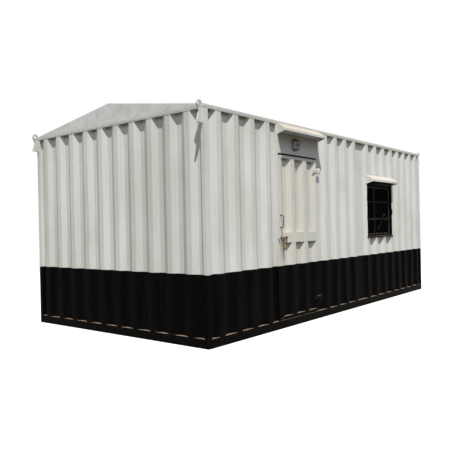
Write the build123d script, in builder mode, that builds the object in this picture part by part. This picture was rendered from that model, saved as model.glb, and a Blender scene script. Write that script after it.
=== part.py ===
from build123d import *
from math import atan2, cos
import os

os.makedirs("parts", exist_ok=True)

# Portable site cabin, in millimetres.
# X runs across, towards the side with the door. Y runs along the cabin, away from the front gable end.
# Z is up. The origin is on the ground, under the middle of the cabin.

# Steel frame
cabin_length = 6096.0
cabin_width = 3048.0
wall_height = 2524.0
ridge_rise = 236.0
post_size = 56.0
tube_wall = 4.0
base_rail_height = 100.0
base_rail_depth = 50.0
base_rail_wall = 5.0
top_rail_height = 42.0

# Folded wall sheet
sheet = 2.0
rib_depth = 36.0
rib_flat = 75.0
flank_run = 75.0
end_pitch = 289.0
end_rib_count = 10
front_row_shift = -26.0
side_pitch = 300.0
far_rib_count = 19
front_bay_ribs = 4
front_bay_first = 132.0
middle_bay_first = 169.0
middle_pitch = 290.0
middle_bay_ribs = 4
rear_pitch = 285.0
rear_bay_ribs = 5
rear_bay_margin = 77.0
window_bay_ribs = 4

# Doorway and its leaf
door_width = 910.0
transom_height = 358.0
door_sill_gap = 10.0
door_start = 1342.0
door_gap = 6.0
latch_jamb_face = 28.0
hinge_jamb_face = 60.0
stop_lap = 30.0
leaf_depth = 36.0
latch_stile = 62.0
hinge_stile = 32.0
leaf_top_rail = 36.0
leaf_bottom_rail = 32.0
lock_rail_height = 130.0
lock_rail_rise = 930.0
lock_rail_wall = 4.0
leaf_pitch = 296.0
leaf_panel_ribs = 4
transom_plate = 3.0

# Hinges, bolt and handle
hinge_height = 54.0
hinge_pin_radius = 6.0
hinge_knuckle_radius = 9.0
pin_clearance = 0.05
knuckle_gap = 1.0
strap_thickness = 4.0
strap_length = 108.0
lower_hinge_rise = 135.0
upper_hinge_drop = 175.0
pivot_gap = 10.0
pivot_stand_off = 10.0
bolt_radius = 7.0
bolt_length = 160.0
guide_strap = 3.0
guide_width = 20.0
keeper_wall = 5.0
keeper_width = 20.0
hasp_width = 26.0
hasp_height = 62.0
hasp_plate = 5.0
padlock_width = 42.0
padlock_height = 40.0
padlock_depth = 18.0
padlock_shackle_rise = 16.0
pull_bar_radius = 6.0
pull_length = 150.0
pull_reach = 42.0
pull_rise = 60.0

# Window
window_width = 964.0
window_height = 830.0
window_sill = 1040.0
window_start = 3808.0
surround_wall = 5.0
sash_bar = 38.0
sash_depth = 20.0
sash_set_back = 34.0
mullion_offset = 365.0
glass_thickness = 4.0
grille_bar = 12.0
grille_count = 8
grille_rails = 2

# Hoods over the door and the window
hood_reach = 112.0
hood_wall_height = 140.0
hood_lip_drop = 76.0
hood_lip_height = 31.0
hood_overlap = 8.0
door_hood_drop = 117.0

# Lamp over the door
lamp_radius = 80.0
lamp_base = 20.0
lamp_rim = 8.0
lamp_glass_radius = 62.0
lamp_glass_depth = 38.0
lamp_offset = 368.0
lamp_drop = 220.0
guard_bar = 5.0
guard_depth = 50.0
guard_pitch = 36.0
guard_count = 3

# Lifting lugs
lug_thickness = 16.0
lug_eye_radius = 42.0
lug_hole_radius = 16.0
lug_reach = 92.0
lug_neck = 58.0
lug_drop = 197.0

# Floor, lining, ceiling and roof
joist_width = 50.0
joist_height = 100.0
joist_pitch = 640.0
joist_count = 9
deck_thickness = 18.0
lining = 9.0
lining_joint = 3.0
roof_sheet = 3.0
gable_plate = 4.0
ridge_beam_size = 50.0

# Places that follow from those sizes
half_width = cabin_width / 2
half_length = cabin_length / 2
bay_half_width = half_width - post_size
bay_half_length = half_length - post_size
wall_bottom = base_rail_height
wall_top = wall_height - top_rail_height
deck_top = base_rail_height + deck_thickness
ceiling_bottom = wall_top - lining
leaf_latch_edge = door_start - half_length
leaf_hinge_edge = leaf_latch_edge + door_width
leaf_bottom = base_rail_height + door_sill_gap
transom_bottom = wall_top - transom_height
leaf_top = transom_bottom - door_gap
latch_jamb_edge = leaf_latch_edge - door_gap
latch_jamb_back = latch_jamb_edge - latch_jamb_face
hinge_jamb_front = leaf_hinge_edge + 2 * door_gap
hinge_jamb_back = hinge_jamb_front + hinge_jamb_face
doorway_latch_side = leaf_latch_edge + stop_lap
doorway_hinge_side = leaf_hinge_edge - stop_lap + pivot_gap
stop_face = half_width - leaf_depth - door_gap
window_front = window_start - half_length
window_back = window_front + window_width
window_head = window_sill + window_height
pivot_x = half_width + pivot_stand_off
pivot_y = leaf_hinge_edge + pivot_gap


def fold_depth(along, ribs, depth):
    """Depth of the folded sheet behind the wall face: nothing on a rib, full depth on the floor."""
    outside = min(max(left - along, along - left - rib_flat, 0.0) for left in ribs)
    return depth * min(outside / flank_run, 1.0)


def sheet_outline(start, end, ribs, depth=rib_depth):
    """Closed outline of a folded sheet, as (along, depth): the outer face from start to end, the inner face back."""
    corners = [start, end]
    for left in ribs:
        corners += [left - flank_run, left, left + rib_flat, left + rib_flat + flank_run]
    inside = sorted({corner for corner in corners if start <= corner <= end})
    outer = [(along, fold_depth(along, ribs, depth)) for along in inside]
    inner = [(along, behind + sheet) for along, behind in reversed(outer)]
    return outer + inner


def rib_row(first, pitch, count):
    """Where each rib of a row starts."""
    return [first + pitch * i for i in range(count)]


def on_side(outline, side):
    """Outline of a side wall's sheet in plan. side is 1 for the door side and -1 for the far side."""
    return [(side * (half_width - depth), along) for along, depth in outline]


def on_end(outline, end):
    """Outline of an end wall's sheet in plan. end is -1 for the front and 1 for the back."""
    return [(along, end * (half_length - depth)) for along, depth in outline]


def finish(part, name):
    """Label the piece and write its STEP file."""
    part.label = name
    export_step(part, f"parts/{name}.step")


# Base rails: channels with the web outside, so that their top flange is the sill of the wall sheets
channel = [
    (0, 0),
    (base_rail_depth, 0),
    (base_rail_depth, base_rail_wall),
    (base_rail_wall, base_rail_wall),
    (base_rail_wall, base_rail_height - base_rail_wall),
    (base_rail_depth, base_rail_height - base_rail_wall),
    (base_rail_depth, base_rail_height),
    (0, base_rail_height),
]

for end, name in ((-1, "base_rail_front"), (1, "base_rail_back")):
    with BuildPart() as base_rail_end:
        with BuildSketch(Plane.YZ):
            with BuildLine():
                Polyline(*[(end * (half_length - inward), up) for inward, up in channel], close=True)
            make_face()
        extrude(amount=bay_half_width, both=True)
    finish(base_rail_end.part, name)

for side, name in ((-1, "base_rail_far_side"), (1, "base_rail_door_side")):
    with BuildPart() as base_rail_side:
        with BuildSketch(Plane.XZ):
            with BuildLine():
                Polyline(*[(side * (half_width - inward), up) for inward, up in channel], close=True)
            make_face()
        extrude(amount=bay_half_length, both=True)
    finish(base_rail_side.part, name)

# Corner posts and top rails: square tubes, flush with the ribs of the wall sheets
post_pitch_x = cabin_width - post_size
post_pitch_y = cabin_length - post_size

with BuildPart() as corner_posts:
    with BuildSketch():
        with GridLocations(post_pitch_x, post_pitch_y, 2, 2):
            Rectangle(post_size, post_size)
            Rectangle(post_size - 2 * tube_wall, post_size - 2 * tube_wall, mode=Mode.SUBTRACT)
    extrude(amount=wall_height)
finish(corner_posts.part, "corner_posts")

rail_centre_z = wall_height - top_rail_height / 2

for end, name in ((-1, "top_rail_front"), (1, "top_rail_back")):
    with BuildPart() as top_rail_end:
        with BuildSketch(Plane.YZ):
            with Locations((end * post_pitch_y / 2, rail_centre_z)):
                Rectangle(post_size, top_rail_height)
                Rectangle(post_size - 2 * tube_wall, top_rail_height - 2 * tube_wall, mode=Mode.SUBTRACT)
        extrude(amount=bay_half_width, both=True)
    finish(top_rail_end.part, name)

for side, name in ((-1, "top_rail_far_side"), (1, "top_rail_door_side")):
    with BuildPart() as top_rail_side:
        with BuildSketch(Plane.XZ):
            with Locations((side * post_pitch_x / 2, rail_centre_z)):
                Rectangle(post_size, top_rail_height)
                Rectangle(post_size - 2 * tube_wall, top_rail_height - 2 * tube_wall, mode=Mode.SUBTRACT)
        extrude(amount=bay_half_length, both=True)
    finish(top_rail_side.part, name)

# End walls: one folded sheet each, between the posts and between the rails
end_row_width = end_pitch * (end_rib_count - 1) + rib_flat
end_walls = ((-1, "front_cladding", front_row_shift), (1, "back_cladding", 0.0))

for end, name, row_shift in end_walls:
    end_ribs = rib_row(row_shift - end_row_width / 2, end_pitch, end_rib_count)
    end_outline = sheet_outline(-bay_half_width, bay_half_width, end_ribs)
    with BuildPart() as end_cladding:
        with BuildSketch(Plane.XY.offset(wall_bottom)):
            with BuildLine():
                Polyline(*on_end(end_outline, end), close=True)
            make_face()
        extrude(amount=wall_top - wall_bottom)
    finish(end_cladding.part, name)

# Far side wall: one folded sheet, whole
far_row_width = side_pitch * (far_rib_count - 1) + rib_flat
far_ribs = rib_row(-far_row_width / 2, side_pitch, far_rib_count)

with BuildPart() as far_side_cladding:
    with BuildSketch(Plane.XY.offset(wall_bottom)):
        with BuildLine():
            Polyline(*on_side(sheet_outline(-bay_half_length, bay_half_length, far_ribs), -1), close=True)
        make_face()
    extrude(amount=wall_top - wall_bottom)
finish(far_side_cladding.part, "far_side_cladding")

# Door side wall: sheets beside the door, beside the window, and under and over the window
front_ribs = rib_row(-bay_half_length + front_bay_first, side_pitch, front_bay_ribs)
middle_row = rib_row(hinge_jamb_back + middle_bay_first, middle_pitch, middle_bay_ribs) + [window_front]
rear_first = bay_half_length - rear_bay_margin - rib_flat - rear_pitch * (rear_bay_ribs - 1)
rear_row = rib_row(rear_first, rear_pitch, rear_bay_ribs)
window_pitch = (rear_first - window_front) / (window_bay_ribs - 1)
window_row = rib_row(window_front, window_pitch, window_bay_ribs)

door_side_sheets = (
    ("door_side_front_bay", -bay_half_length, latch_jamb_back, front_ribs, wall_bottom, wall_top),
    ("door_side_middle_bay", hinge_jamb_back, window_front, middle_row, wall_bottom, wall_top),
    ("below_window_bay", window_front, window_back, window_row, wall_bottom, window_sill),
    ("above_window_bay", window_front, window_back, window_row, window_head, wall_top),
    ("door_side_rear_bay", window_back, bay_half_length, rear_row, wall_bottom, wall_top),
)

for name, start, end, ribs, bottom, top in door_side_sheets:
    with BuildPart() as door_side_sheet:
        with BuildSketch(Plane.XY.offset(bottom)):
            with BuildLine():
                Polyline(*on_side(sheet_outline(start, end, ribs), 1), close=True)
            make_face()
        extrude(amount=top - bottom)
    finish(door_side_sheet.part, name)

# Door jambs: a rebate that the leaf closes into, the latch side out to the wall face
latch_strip = [
    (half_width, latch_jamb_back),
    (half_width, latch_jamb_edge),
    (bay_half_width, latch_jamb_edge),
    (bay_half_width, latch_jamb_back),
]
latch_stop = [
    (stop_face, latch_jamb_edge),
    (stop_face, doorway_latch_side),
    (bay_half_width, doorway_latch_side),
    (bay_half_width, latch_jamb_edge),
]
hinge_jamb = [
    (half_width - rib_depth, hinge_jamb_back),
    (half_width - rib_depth, hinge_jamb_front),
    (stop_face, hinge_jamb_front),
    (stop_face, doorway_hinge_side),
    (bay_half_width, doorway_hinge_side),
    (bay_half_width, hinge_jamb_back),
]

with BuildPart() as door_jambs:
    for outline, top in ((latch_strip, wall_top), (latch_stop, transom_bottom), (hinge_jamb, transom_bottom)):
        with BuildSketch(Plane.XY.offset(wall_bottom)):
            with BuildLine():
                Polyline(*outline, close=True)
            make_face()
        extrude(amount=top - wall_bottom)
finish(door_jambs.part, "door_jambs")

# Transom: a flat pan over the door, with a stop bar along its foot
transom_width = hinge_jamb_back - latch_jamb_edge
transom_middle = (hinge_jamb_back + latch_jamb_edge) / 2
stop_depth = stop_face - bay_half_width

with BuildPart() as transom_panel:
    with BuildSketch(Plane.YZ.offset(bay_half_width)):
        with Locations((transom_middle, transom_bottom + transom_height / 2)):
            Rectangle(transom_width, transom_height)
    extrude(amount=post_size)
    with BuildSketch(Plane.YZ.offset(bay_half_width)):
        with Locations((transom_middle, transom_bottom + transom_height / 2)):
            Rectangle(transom_width - 2 * transom_plate, transom_height - 2 * transom_plate)
    extrude(amount=post_size - transom_plate, mode=Mode.SUBTRACT)
    with BuildSketch(Plane.YZ.offset(bay_half_width)):
        with Locations(((doorway_latch_side + doorway_hinge_side) / 2, transom_bottom - stop_lap / 2)):
            Rectangle(doorway_hinge_side - doorway_latch_side, stop_lap)
    extrude(amount=stop_depth)
finish(transom_panel.part, "transom_panel")


# Hoods: a sloping sheet with a turned-down lip and a cheek at each end, open below
def hood_profile(bottom, slope_wall):
    """Side view of a hood, and of the hollow inside it, as (out, up) from the wall face."""
    top = bottom + hood_wall_height
    lip_top = top - hood_lip_drop
    lip_bottom = lip_top - hood_lip_height
    outside = [(0, bottom), (hood_reach, lip_bottom), (hood_reach, lip_top), (0, top)]
    inner_reach = hood_reach - sheet
    inner_lip = lip_top - slope_wall + sheet * hood_lip_drop / hood_reach
    inside = [(0, bottom - post_size), (inner_reach, bottom - post_size)]
    inside += [(inner_reach, inner_lip), (0, top - slope_wall)]
    return outside, inside


hood_slope_wall = sheet / cos(atan2(hood_lip_drop, hood_reach))

hoods = (
    ("door_hood", latch_jamb_edge, hinge_jamb_back, wall_top - door_hood_drop),
    ("window_hood", window_front - hood_overlap, window_back + hood_overlap, window_head),
)

for name, start, end, rise in hoods:
    outside, inside = hood_profile(rise, hood_slope_wall)
    with BuildPart() as hood:
        with BuildSketch(Plane.XZ.offset(-start)):
            with BuildLine():
                Polyline(*[(half_width + out, up) for out, up in outside], close=True)
            make_face()
        extrude(amount=start - end)
        with BuildSketch(Plane.XZ.offset(-start - sheet)):
            with BuildLine():
                Polyline(*[(half_width + out, up) for out, up in inside], close=True)
            make_face()
        extrude(amount=start - end + 2 * sheet, mode=Mode.SUBTRACT)
    finish(hood.part, name)

# Lamp over the door: a round base with a rim, a domed glass in it, and a guard of bent bars over the glass
lamp_y = leaf_latch_edge + lamp_offset
lamp_z = wall_top - lamp_drop
lamp_face = half_width + lamp_base
glass_foot = lamp_face - lamp_rim
guard_foot = lamp_radius - 2 * guard_bar
guard_top = lamp_face + guard_depth

lamp_side_view = [
    (half_width, 0),
    (half_width, lamp_radius),
    (lamp_face, lamp_radius - lamp_rim / 2),
    (lamp_face, lamp_glass_radius),
    (glass_foot, lamp_glass_radius),
    (lamp_face, lamp_glass_radius - lamp_rim / 2),
    (lamp_face + lamp_glass_depth * 2 / 3, lamp_glass_radius * 3 / 4),
    (lamp_face + lamp_glass_depth, lamp_glass_radius / 3),
    (lamp_face + lamp_glass_depth, 0),
]


def guard_outline(reach):
    """Side view of a guard bar, as (out, up): from the base over the glass and back, then the same way inside."""
    outer = [(glass_foot, reach), (guard_top - guard_bar, reach), (guard_top, reach - guard_bar)]
    inner = [(out - guard_bar, up - guard_bar) for out, up in outer[1:]]
    inner = [(glass_foot, reach - guard_bar)] + inner
    over = outer + [(out, -up) for out, up in reversed(outer)]
    under = [(out, -up) for out, up in inner] + list(reversed(inner))
    return over + under


with BuildPart() as door_lamp:
    with BuildSketch(Plane(origin=(0, lamp_y, lamp_z), x_dir=(1, 0, 0), z_dir=(0, -1, 0))):
        with BuildLine():
            Polyline(*lamp_side_view, close=True)
        make_face()
    revolve(axis=Axis((0, lamp_y, lamp_z), (1, 0, 0)))
    for place in range(guard_count):
        guard_y = lamp_y + guard_pitch * (place - (guard_count - 1) / 2)
        reach = (guard_foot**2 - (guard_y - lamp_y) ** 2) ** 0.5
        with BuildSketch(Plane(origin=(0, guard_y, lamp_z), x_dir=(1, 0, 0), z_dir=(0, -1, 0))):
            with BuildLine():
                Polyline(*guard_outline(reach), close=True)
            make_face()
        extrude(amount=guard_bar / 2, both=True)
    with BuildSketch(Plane.XZ.offset(-lamp_y)):
        with Locations((guard_top - guard_bar / 2, lamp_z)):
            Rectangle(guard_bar, guard_bar)
    extrude(amount=guard_pitch, both=True)
finish(door_lamp.part, "door_lamp")

# Window: a flat-bar surround in the wall, a black sash with one mullion, the glass and a bar grille
window_middle = (window_front + window_back) / 2
window_middle_z = (window_sill + window_head) / 2
sash_width = window_width - 2 * surround_wall
sash_height = window_height - 2 * surround_wall
sash_back = half_width - sash_set_back - sash_depth
light_width = sash_width - 2 * sash_bar
light_height = sash_height - 2 * sash_bar
mullion_y = window_front + mullion_offset
glass_lap = sash_bar / 4

with BuildPart() as window_frame:
    with BuildSketch(Plane.YZ.offset(bay_half_width)):
        with Locations((window_middle, window_middle_z)):
            Rectangle(window_width, window_height)
            Rectangle(sash_width, sash_height, mode=Mode.SUBTRACT)
    extrude(amount=post_size)
finish(window_frame.part, "window_frame")

with BuildPart() as window_sash:
    with BuildSketch(Plane.YZ.offset(sash_back)):
        with Locations((window_middle, window_middle_z)):
            Rectangle(sash_width, sash_height)
            Rectangle(light_width, light_height, mode=Mode.SUBTRACT)
        with Locations((mullion_y, window_middle_z)):
            Rectangle(sash_bar, light_height)
    extrude(amount=sash_depth)
    with BuildSketch(Plane.YZ.offset(sash_back + (sash_depth - glass_thickness) / 2)):
        with Locations((window_middle, window_middle_z)):
            Rectangle(light_width + 2 * glass_lap, light_height + 2 * glass_lap)
    extrude(amount=glass_thickness, mode=Mode.SUBTRACT)
finish(window_sash.part, "window_sash")

with BuildPart() as window_glass:
    with BuildSketch(Plane.YZ.offset(sash_back + (sash_depth - glass_thickness) / 2)):
        with Locations((window_middle, window_middle_z)):
            Rectangle(light_width + 2 * glass_lap, light_height + 2 * glass_lap)
    extrude(amount=glass_thickness)
finish(window_glass.part, "window_glass")

grille_pitch = sash_width / (grille_count + 1)
grille_rail_pitch = sash_height / (grille_rails + 1)
grille_middle_x = half_width - sash_set_back + grille_bar

with BuildPart() as window_grille:
    with BuildSketch(Plane.XY.offset(window_sill + surround_wall)):
        with Locations((grille_middle_x, window_middle)):
            with GridLocations(0, grille_pitch, 1, grille_count):
                RegularPolygon(grille_bar / 2, 8)
    extrude(amount=sash_height)
    with BuildSketch(Plane.YZ.offset(grille_middle_x - grille_bar / 4)):
        with Locations((window_middle, window_middle_z)):
            with GridLocations(0, grille_rail_pitch, 1, grille_rails):
                Rectangle(sash_width, 2 * grille_bar)
    extrude(amount=grille_bar / 2)
finish(window_grille.part, "window_grille")

# Floor: tube joists between the base rails, and a deck on them
with BuildPart() as floor_joists:
    with BuildSketch(Plane.YZ):
        with Locations((0, base_rail_height - joist_height / 2)):
            with GridLocations(joist_pitch, 0, joist_count, 1):
                Rectangle(joist_width, joist_height)
                Rectangle(joist_width - 2 * tube_wall, joist_height - 2 * tube_wall, mode=Mode.SUBTRACT)
    extrude(amount=half_width - base_rail_depth, both=True)
finish(floor_joists.part, "floor_joists")

with BuildPart() as floor_deck:
    with BuildSketch(Plane.XY.offset(base_rail_height)):
        Rectangle(2 * bay_half_width, 2 * bay_half_length)
    extrude(amount=deck_thickness)
finish(floor_deck.part, "floor_deck")

with BuildPart() as ceiling_board:
    with BuildSketch(Plane.XY.offset(ceiling_bottom)):
        Rectangle(2 * bay_half_width, 2 * bay_half_length)
    extrude(amount=lining)
finish(ceiling_board.part, "ceiling_board")

# Wall lining: boards on the inner faces of the posts, with the door and window left open
lining_height = ceiling_bottom - deck_top
lining_half_length = bay_half_length - lining

with BuildPart() as end_and_far_lining:
    with BuildSketch(Plane.XY.offset(deck_top)):
        with GridLocations(0, 2 * bay_half_length - lining, 1, 2):
            Rectangle(2 * bay_half_width, lining)
        with Locations((-bay_half_width + lining / 2, 0)):
            Rectangle(lining, 2 * (lining_half_length - lining_joint))
    extrude(amount=lining_height)
finish(end_and_far_lining.part, "end_and_far_lining")

lining_boards = (
    (-lining_half_length + lining_joint, doorway_latch_side, deck_top, ceiling_bottom),
    (doorway_latch_side + lining_joint, doorway_hinge_side - lining_joint, transom_bottom, ceiling_bottom),
    (doorway_hinge_side, window_front, deck_top, ceiling_bottom),
    (window_front + lining_joint, window_back - lining_joint, deck_top, window_sill),
    (window_front + lining_joint, window_back - lining_joint, window_head, ceiling_bottom),
    (window_back, lining_half_length - lining_joint, deck_top, ceiling_bottom),
)

with BuildPart() as door_side_lining:
    with BuildSketch(Plane.YZ.offset(bay_half_width - lining)):
        for start, end, bottom, top in lining_boards:
            with Locations(((start + end) / 2, (bottom + top) / 2)):
                Rectangle(end - start, top - bottom)
    extrude(amount=lining)
finish(door_side_lining.part, "door_side_lining")

# Roof: two flat slopes on gable plates and a ridge beam
roof_rise = ridge_rise - roof_sheet
ridge_top = wall_height + ridge_rise
slopes = ((-1, "roof_far_slope"), (1, "roof_door_slope"))

for side, name in slopes:
    slope = [
        (0, ridge_top - roof_sheet),
        (side * half_width, wall_height),
        (side * half_width, wall_height + roof_sheet),
        (0, ridge_top),
    ]
    with BuildPart() as roof_slope:
        with BuildSketch(Plane.XZ):
            with BuildLine():
                Polyline(*slope, close=True)
            make_face()
        extrude(amount=half_length, both=True)
    finish(roof_slope.part, name)

gable = [(-half_width, wall_height), (half_width, wall_height), (0, ridge_top - roof_sheet)]

for inner_face, name in ((half_length - gable_plate, "gable_front"), (-half_length, "gable_back")):
    with BuildPart() as gable_end:
        with BuildSketch(Plane.XZ.offset(inner_face)):
            with BuildLine():
                Polyline(*gable, close=True)
            make_face()
        extrude(amount=gable_plate)
    finish(gable_end.part, name)

ridge_beam_top = wall_height + roof_rise * (1 - ridge_beam_size / 2 / half_width)

with BuildPart() as ridge_beam:
    with BuildSketch(Plane.XZ):
        with Locations((0, ridge_beam_top - ridge_beam_size / 2)):
            Rectangle(ridge_beam_size, ridge_beam_size)
            Rectangle(ridge_beam_size - 2 * tube_wall, ridge_beam_size - 2 * tube_wall, mode=Mode.SUBTRACT)
    extrude(amount=half_length - gable_plate, both=True)
finish(ridge_beam.part, "ridge_beam")

# Lifting lugs: an upright eye plate on the middle of each corner post's end face
lug_eye_y = half_length + lug_eye_radius + sheet
lug_foot = wall_height - lug_drop

for end, name in ((-1, "front_lifting_lugs"), (1, "back_lifting_lugs")):
    lug_outline = [
        (end * half_length, wall_height),
        (end * half_length, lug_foot),
        (end * (half_length + lug_reach), lug_foot + 2 * sheet),
        (end * (half_length + lug_neck), wall_height - 2 * lug_eye_radius),
        (end * (lug_eye_y + lug_eye_radius), wall_height),
    ]
    with BuildPart() as lifting_lugs:
        for side in (-1, 1):
            with BuildSketch(Plane.YZ.offset(side * post_pitch_x / 2)):
                with BuildLine():
                    Polyline(*lug_outline, close=True)
                make_face()
                with Locations((end * lug_eye_y, wall_height)):
                    Circle(lug_eye_radius)
                    Circle(lug_hole_radius, mode=Mode.SUBTRACT)
            extrude(amount=lug_thickness / 2, both=True)
    finish(lifting_lugs.part, name)

# Door leaf: a steel frame with a lock rail that is open behind, and a folded panel above and below it
lock_rail_bottom = leaf_bottom + lock_rail_rise
lock_rail_top = lock_rail_bottom + lock_rail_height
leaf_middle = (leaf_latch_edge + leaf_hinge_edge) / 2
panel_latch_edge = leaf_latch_edge + latch_stile
panel_hinge_edge = leaf_hinge_edge - hinge_stile
panel_middle = (panel_latch_edge + panel_hinge_edge) / 2
panel_width = panel_hinge_edge - panel_latch_edge
leaf_back = half_width - leaf_depth
lower_panel_bottom = leaf_bottom + leaf_bottom_rail
upper_panel_top = leaf_top - leaf_top_rail

with BuildPart() as door_leaf_frame:
    with BuildSketch(Plane.YZ.offset(leaf_back)):
        with Locations((leaf_middle, (leaf_bottom + leaf_top) / 2)):
            Rectangle(door_width, leaf_top - leaf_bottom)
        with Locations((panel_middle, (lower_panel_bottom + lock_rail_bottom) / 2)):
            Rectangle(panel_width, lock_rail_bottom - lower_panel_bottom, mode=Mode.SUBTRACT)
        with Locations((panel_middle, (lock_rail_top + upper_panel_top) / 2)):
            Rectangle(panel_width, upper_panel_top - lock_rail_top, mode=Mode.SUBTRACT)
    extrude(amount=leaf_depth)
    with BuildSketch(Plane.YZ.offset(leaf_back)):
        with Locations((panel_middle, lock_rail_bottom + lock_rail_height / 2)):
            Rectangle(panel_width, lock_rail_height - 2 * lock_rail_wall)
    extrude(amount=leaf_depth - lock_rail_wall, mode=Mode.SUBTRACT)
finish(door_leaf_frame.part, "door_leaf_frame")

leaf_ribs = rib_row(panel_hinge_edge - leaf_pitch * (leaf_panel_ribs - 1), leaf_pitch, leaf_panel_ribs)
leaf_outline = sheet_outline(panel_latch_edge, panel_hinge_edge, leaf_ribs, leaf_depth - sheet)
leaf_panels = (
    ("door_lower_panel", lower_panel_bottom, lock_rail_bottom),
    ("door_upper_panel", lock_rail_top, upper_panel_top),
)

for name, bottom, top in leaf_panels:
    with BuildPart() as leaf_panel:
        with BuildSketch(Plane.XY.offset(bottom)):
            with BuildLine():
                Polyline(*on_side(leaf_outline, 1), close=True)
            make_face()
        extrude(amount=top - bottom)
    finish(leaf_panel.part, name)

# Hinges: brackets with two knuckles and a pin on the jamb, a strap with the middle knuckle on the leaf.
# The keeper that the bolt shoots into is on the other jamb.
knuckle_height = hinge_height / 3
hinge_bottoms = (
    leaf_bottom + lower_hinge_rise,
    leaf_top - upper_hinge_drop,
)

bolt_x = half_width + keeper_wall + bolt_radius
bolt_z = lock_rail_bottom + lock_rail_height / 2
keeper_middle = (latch_jamb_back + latch_jamb_edge) / 2

with BuildPart() as jamb_fittings:
    for bottom in hinge_bottoms:
        for level in (bottom, bottom + 2 * knuckle_height):
            with BuildSketch(Plane.XY.offset(level)):
                with Locations((pivot_x, pivot_y)):
                    Circle(hinge_knuckle_radius)
                with BuildLine():
                    Polyline(
                        (half_width - rib_depth, hinge_jamb_front),
                        (pivot_x, pivot_y),
                        (pivot_x, pivot_y + hinge_knuckle_radius),
                        (half_width - rib_depth, hinge_jamb_back - hinge_knuckle_radius),
                        close=True,
                    )
                make_face()
            extrude(amount=knuckle_height)
        with BuildSketch(Plane.XY.offset(bottom)):
            with Locations((pivot_x, pivot_y)):
                Circle(hinge_pin_radius)
        extrude(amount=hinge_height)
    with BuildSketch(Plane.XZ.offset(-keeper_middle)):
        with Locations((bolt_x, bolt_z)):
            Circle(bolt_radius + keeper_wall)
        with Locations(((half_width + bolt_x) / 2, bolt_z)):
            Rectangle(bolt_x - half_width, 2 * (bolt_radius + keeper_wall))
        with Locations((bolt_x, bolt_z)):
            Circle(bolt_radius + pin_clearance, mode=Mode.SUBTRACT)
    extrude(amount=keeper_width / 2, both=True)
finish(jamb_fittings.part, "jamb_fittings")

with BuildPart() as door_hinge_straps:
    for bottom in hinge_bottoms:
        with BuildSketch(Plane.XY.offset(bottom + knuckle_height + knuckle_gap)):
            with Locations((pivot_x, pivot_y)):
                Circle(hinge_knuckle_radius)
            with Locations((half_width + strap_thickness / 2, pivot_y - strap_length / 2)):
                Rectangle(strap_thickness, strap_length)
            with Locations((half_width + pivot_stand_off / 2, pivot_y - hinge_knuckle_radius / 2)):
                Rectangle(pivot_stand_off, hinge_knuckle_radius)
            with Locations((pivot_x, pivot_y)):
                Circle(hinge_pin_radius + pin_clearance, mode=Mode.SUBTRACT)
        extrude(amount=knuckle_height - 2 * knuckle_gap)
finish(door_hinge_straps.part, "door_hinge_straps")

# Latch: a sliding bolt drawn back in two guides on the lock rail, its hasp plate, and a padlock through it
bolt_start = leaf_latch_edge + door_gap
bolt_end = bolt_start + bolt_length
hasp_y = (bolt_start + bolt_end) / 2
hasp_reach = bolt_x - half_width + hasp_plate
hasp_bottom = bolt_z - hasp_height
padlock_top = hasp_bottom - padlock_shackle_rise

with BuildPart() as door_latch:
    with BuildSketch(Plane.XZ.offset(-bolt_start)):
        with Locations((bolt_x, bolt_z)):
            Circle(bolt_radius)
    extrude(amount=-bolt_length)
    for guide_y in (bolt_start + guide_width, bolt_end - guide_width):
        with BuildSketch(Plane.XZ.offset(-guide_y)):
            with Locations((bolt_x, bolt_z)):
                Circle(bolt_radius + guide_strap)
            with Locations((half_width + guide_strap / 2, bolt_z)):
                Rectangle(guide_strap, 2 * guide_width)
        extrude(amount=guide_width / 2, both=True)
    with BuildSketch(Plane.YZ.offset(bolt_x - hasp_plate / 2)):
        with Locations((hasp_y, bolt_z - hasp_height / 2)):
            Rectangle(hasp_width, hasp_height)
    extrude(amount=hasp_plate)
    with BuildSketch(Plane.YZ.offset(half_width)):
        with Locations((hasp_y, hasp_bottom + hasp_plate)):
            Rectangle(hasp_plate, 2 * hasp_plate)
    extrude(amount=hasp_reach)
    with BuildSketch(Plane.YZ.offset(half_width + guide_strap)):
        with Locations((hasp_y, padlock_top - padlock_height / 2)):
            RectangleRounded(padlock_width, padlock_height, hasp_plate)
    extrude(amount=padlock_depth)
    with BuildSketch(Plane.YZ.offset(bolt_x)):
        with Locations((hasp_y, padlock_top)):
            SlotOverall(2 * padlock_shackle_rise + padlock_width / 2, padlock_width / 2, rotation=90)
            SlotOverall(
                2 * padlock_shackle_rise + padlock_width / 2 - 2 * hasp_plate,
                padlock_width / 2 - 2 * hasp_plate,
                rotation=90,
                mode=Mode.SUBTRACT,
            )
    extrude(amount=hasp_plate)
finish(door_latch.part, "door_latch")

# Pull handle: a bent round bar on the latch stile, above the lock rail
pull_y = leaf_latch_edge + latch_stile / 2
pull_bottom = lock_rail_top + pull_rise
pull_top = pull_bottom + pull_length

with BuildPart() as door_pull:
    with BuildLine() as pull_path:
        FilletPolyline(
            (half_width, pull_y, pull_bottom),
            (half_width + pull_reach, pull_y, pull_bottom),
            (half_width + pull_reach, pull_y, pull_top),
            (half_width, pull_y, pull_top),
            radius=2 * pull_bar_radius,
        )
    with BuildSketch(Plane(origin=pull_path.line @ 0, z_dir=pull_path.line % 0)):
        Circle(pull_bar_radius)
    sweep()
finish(door_pull.part, "door_pull")
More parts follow.
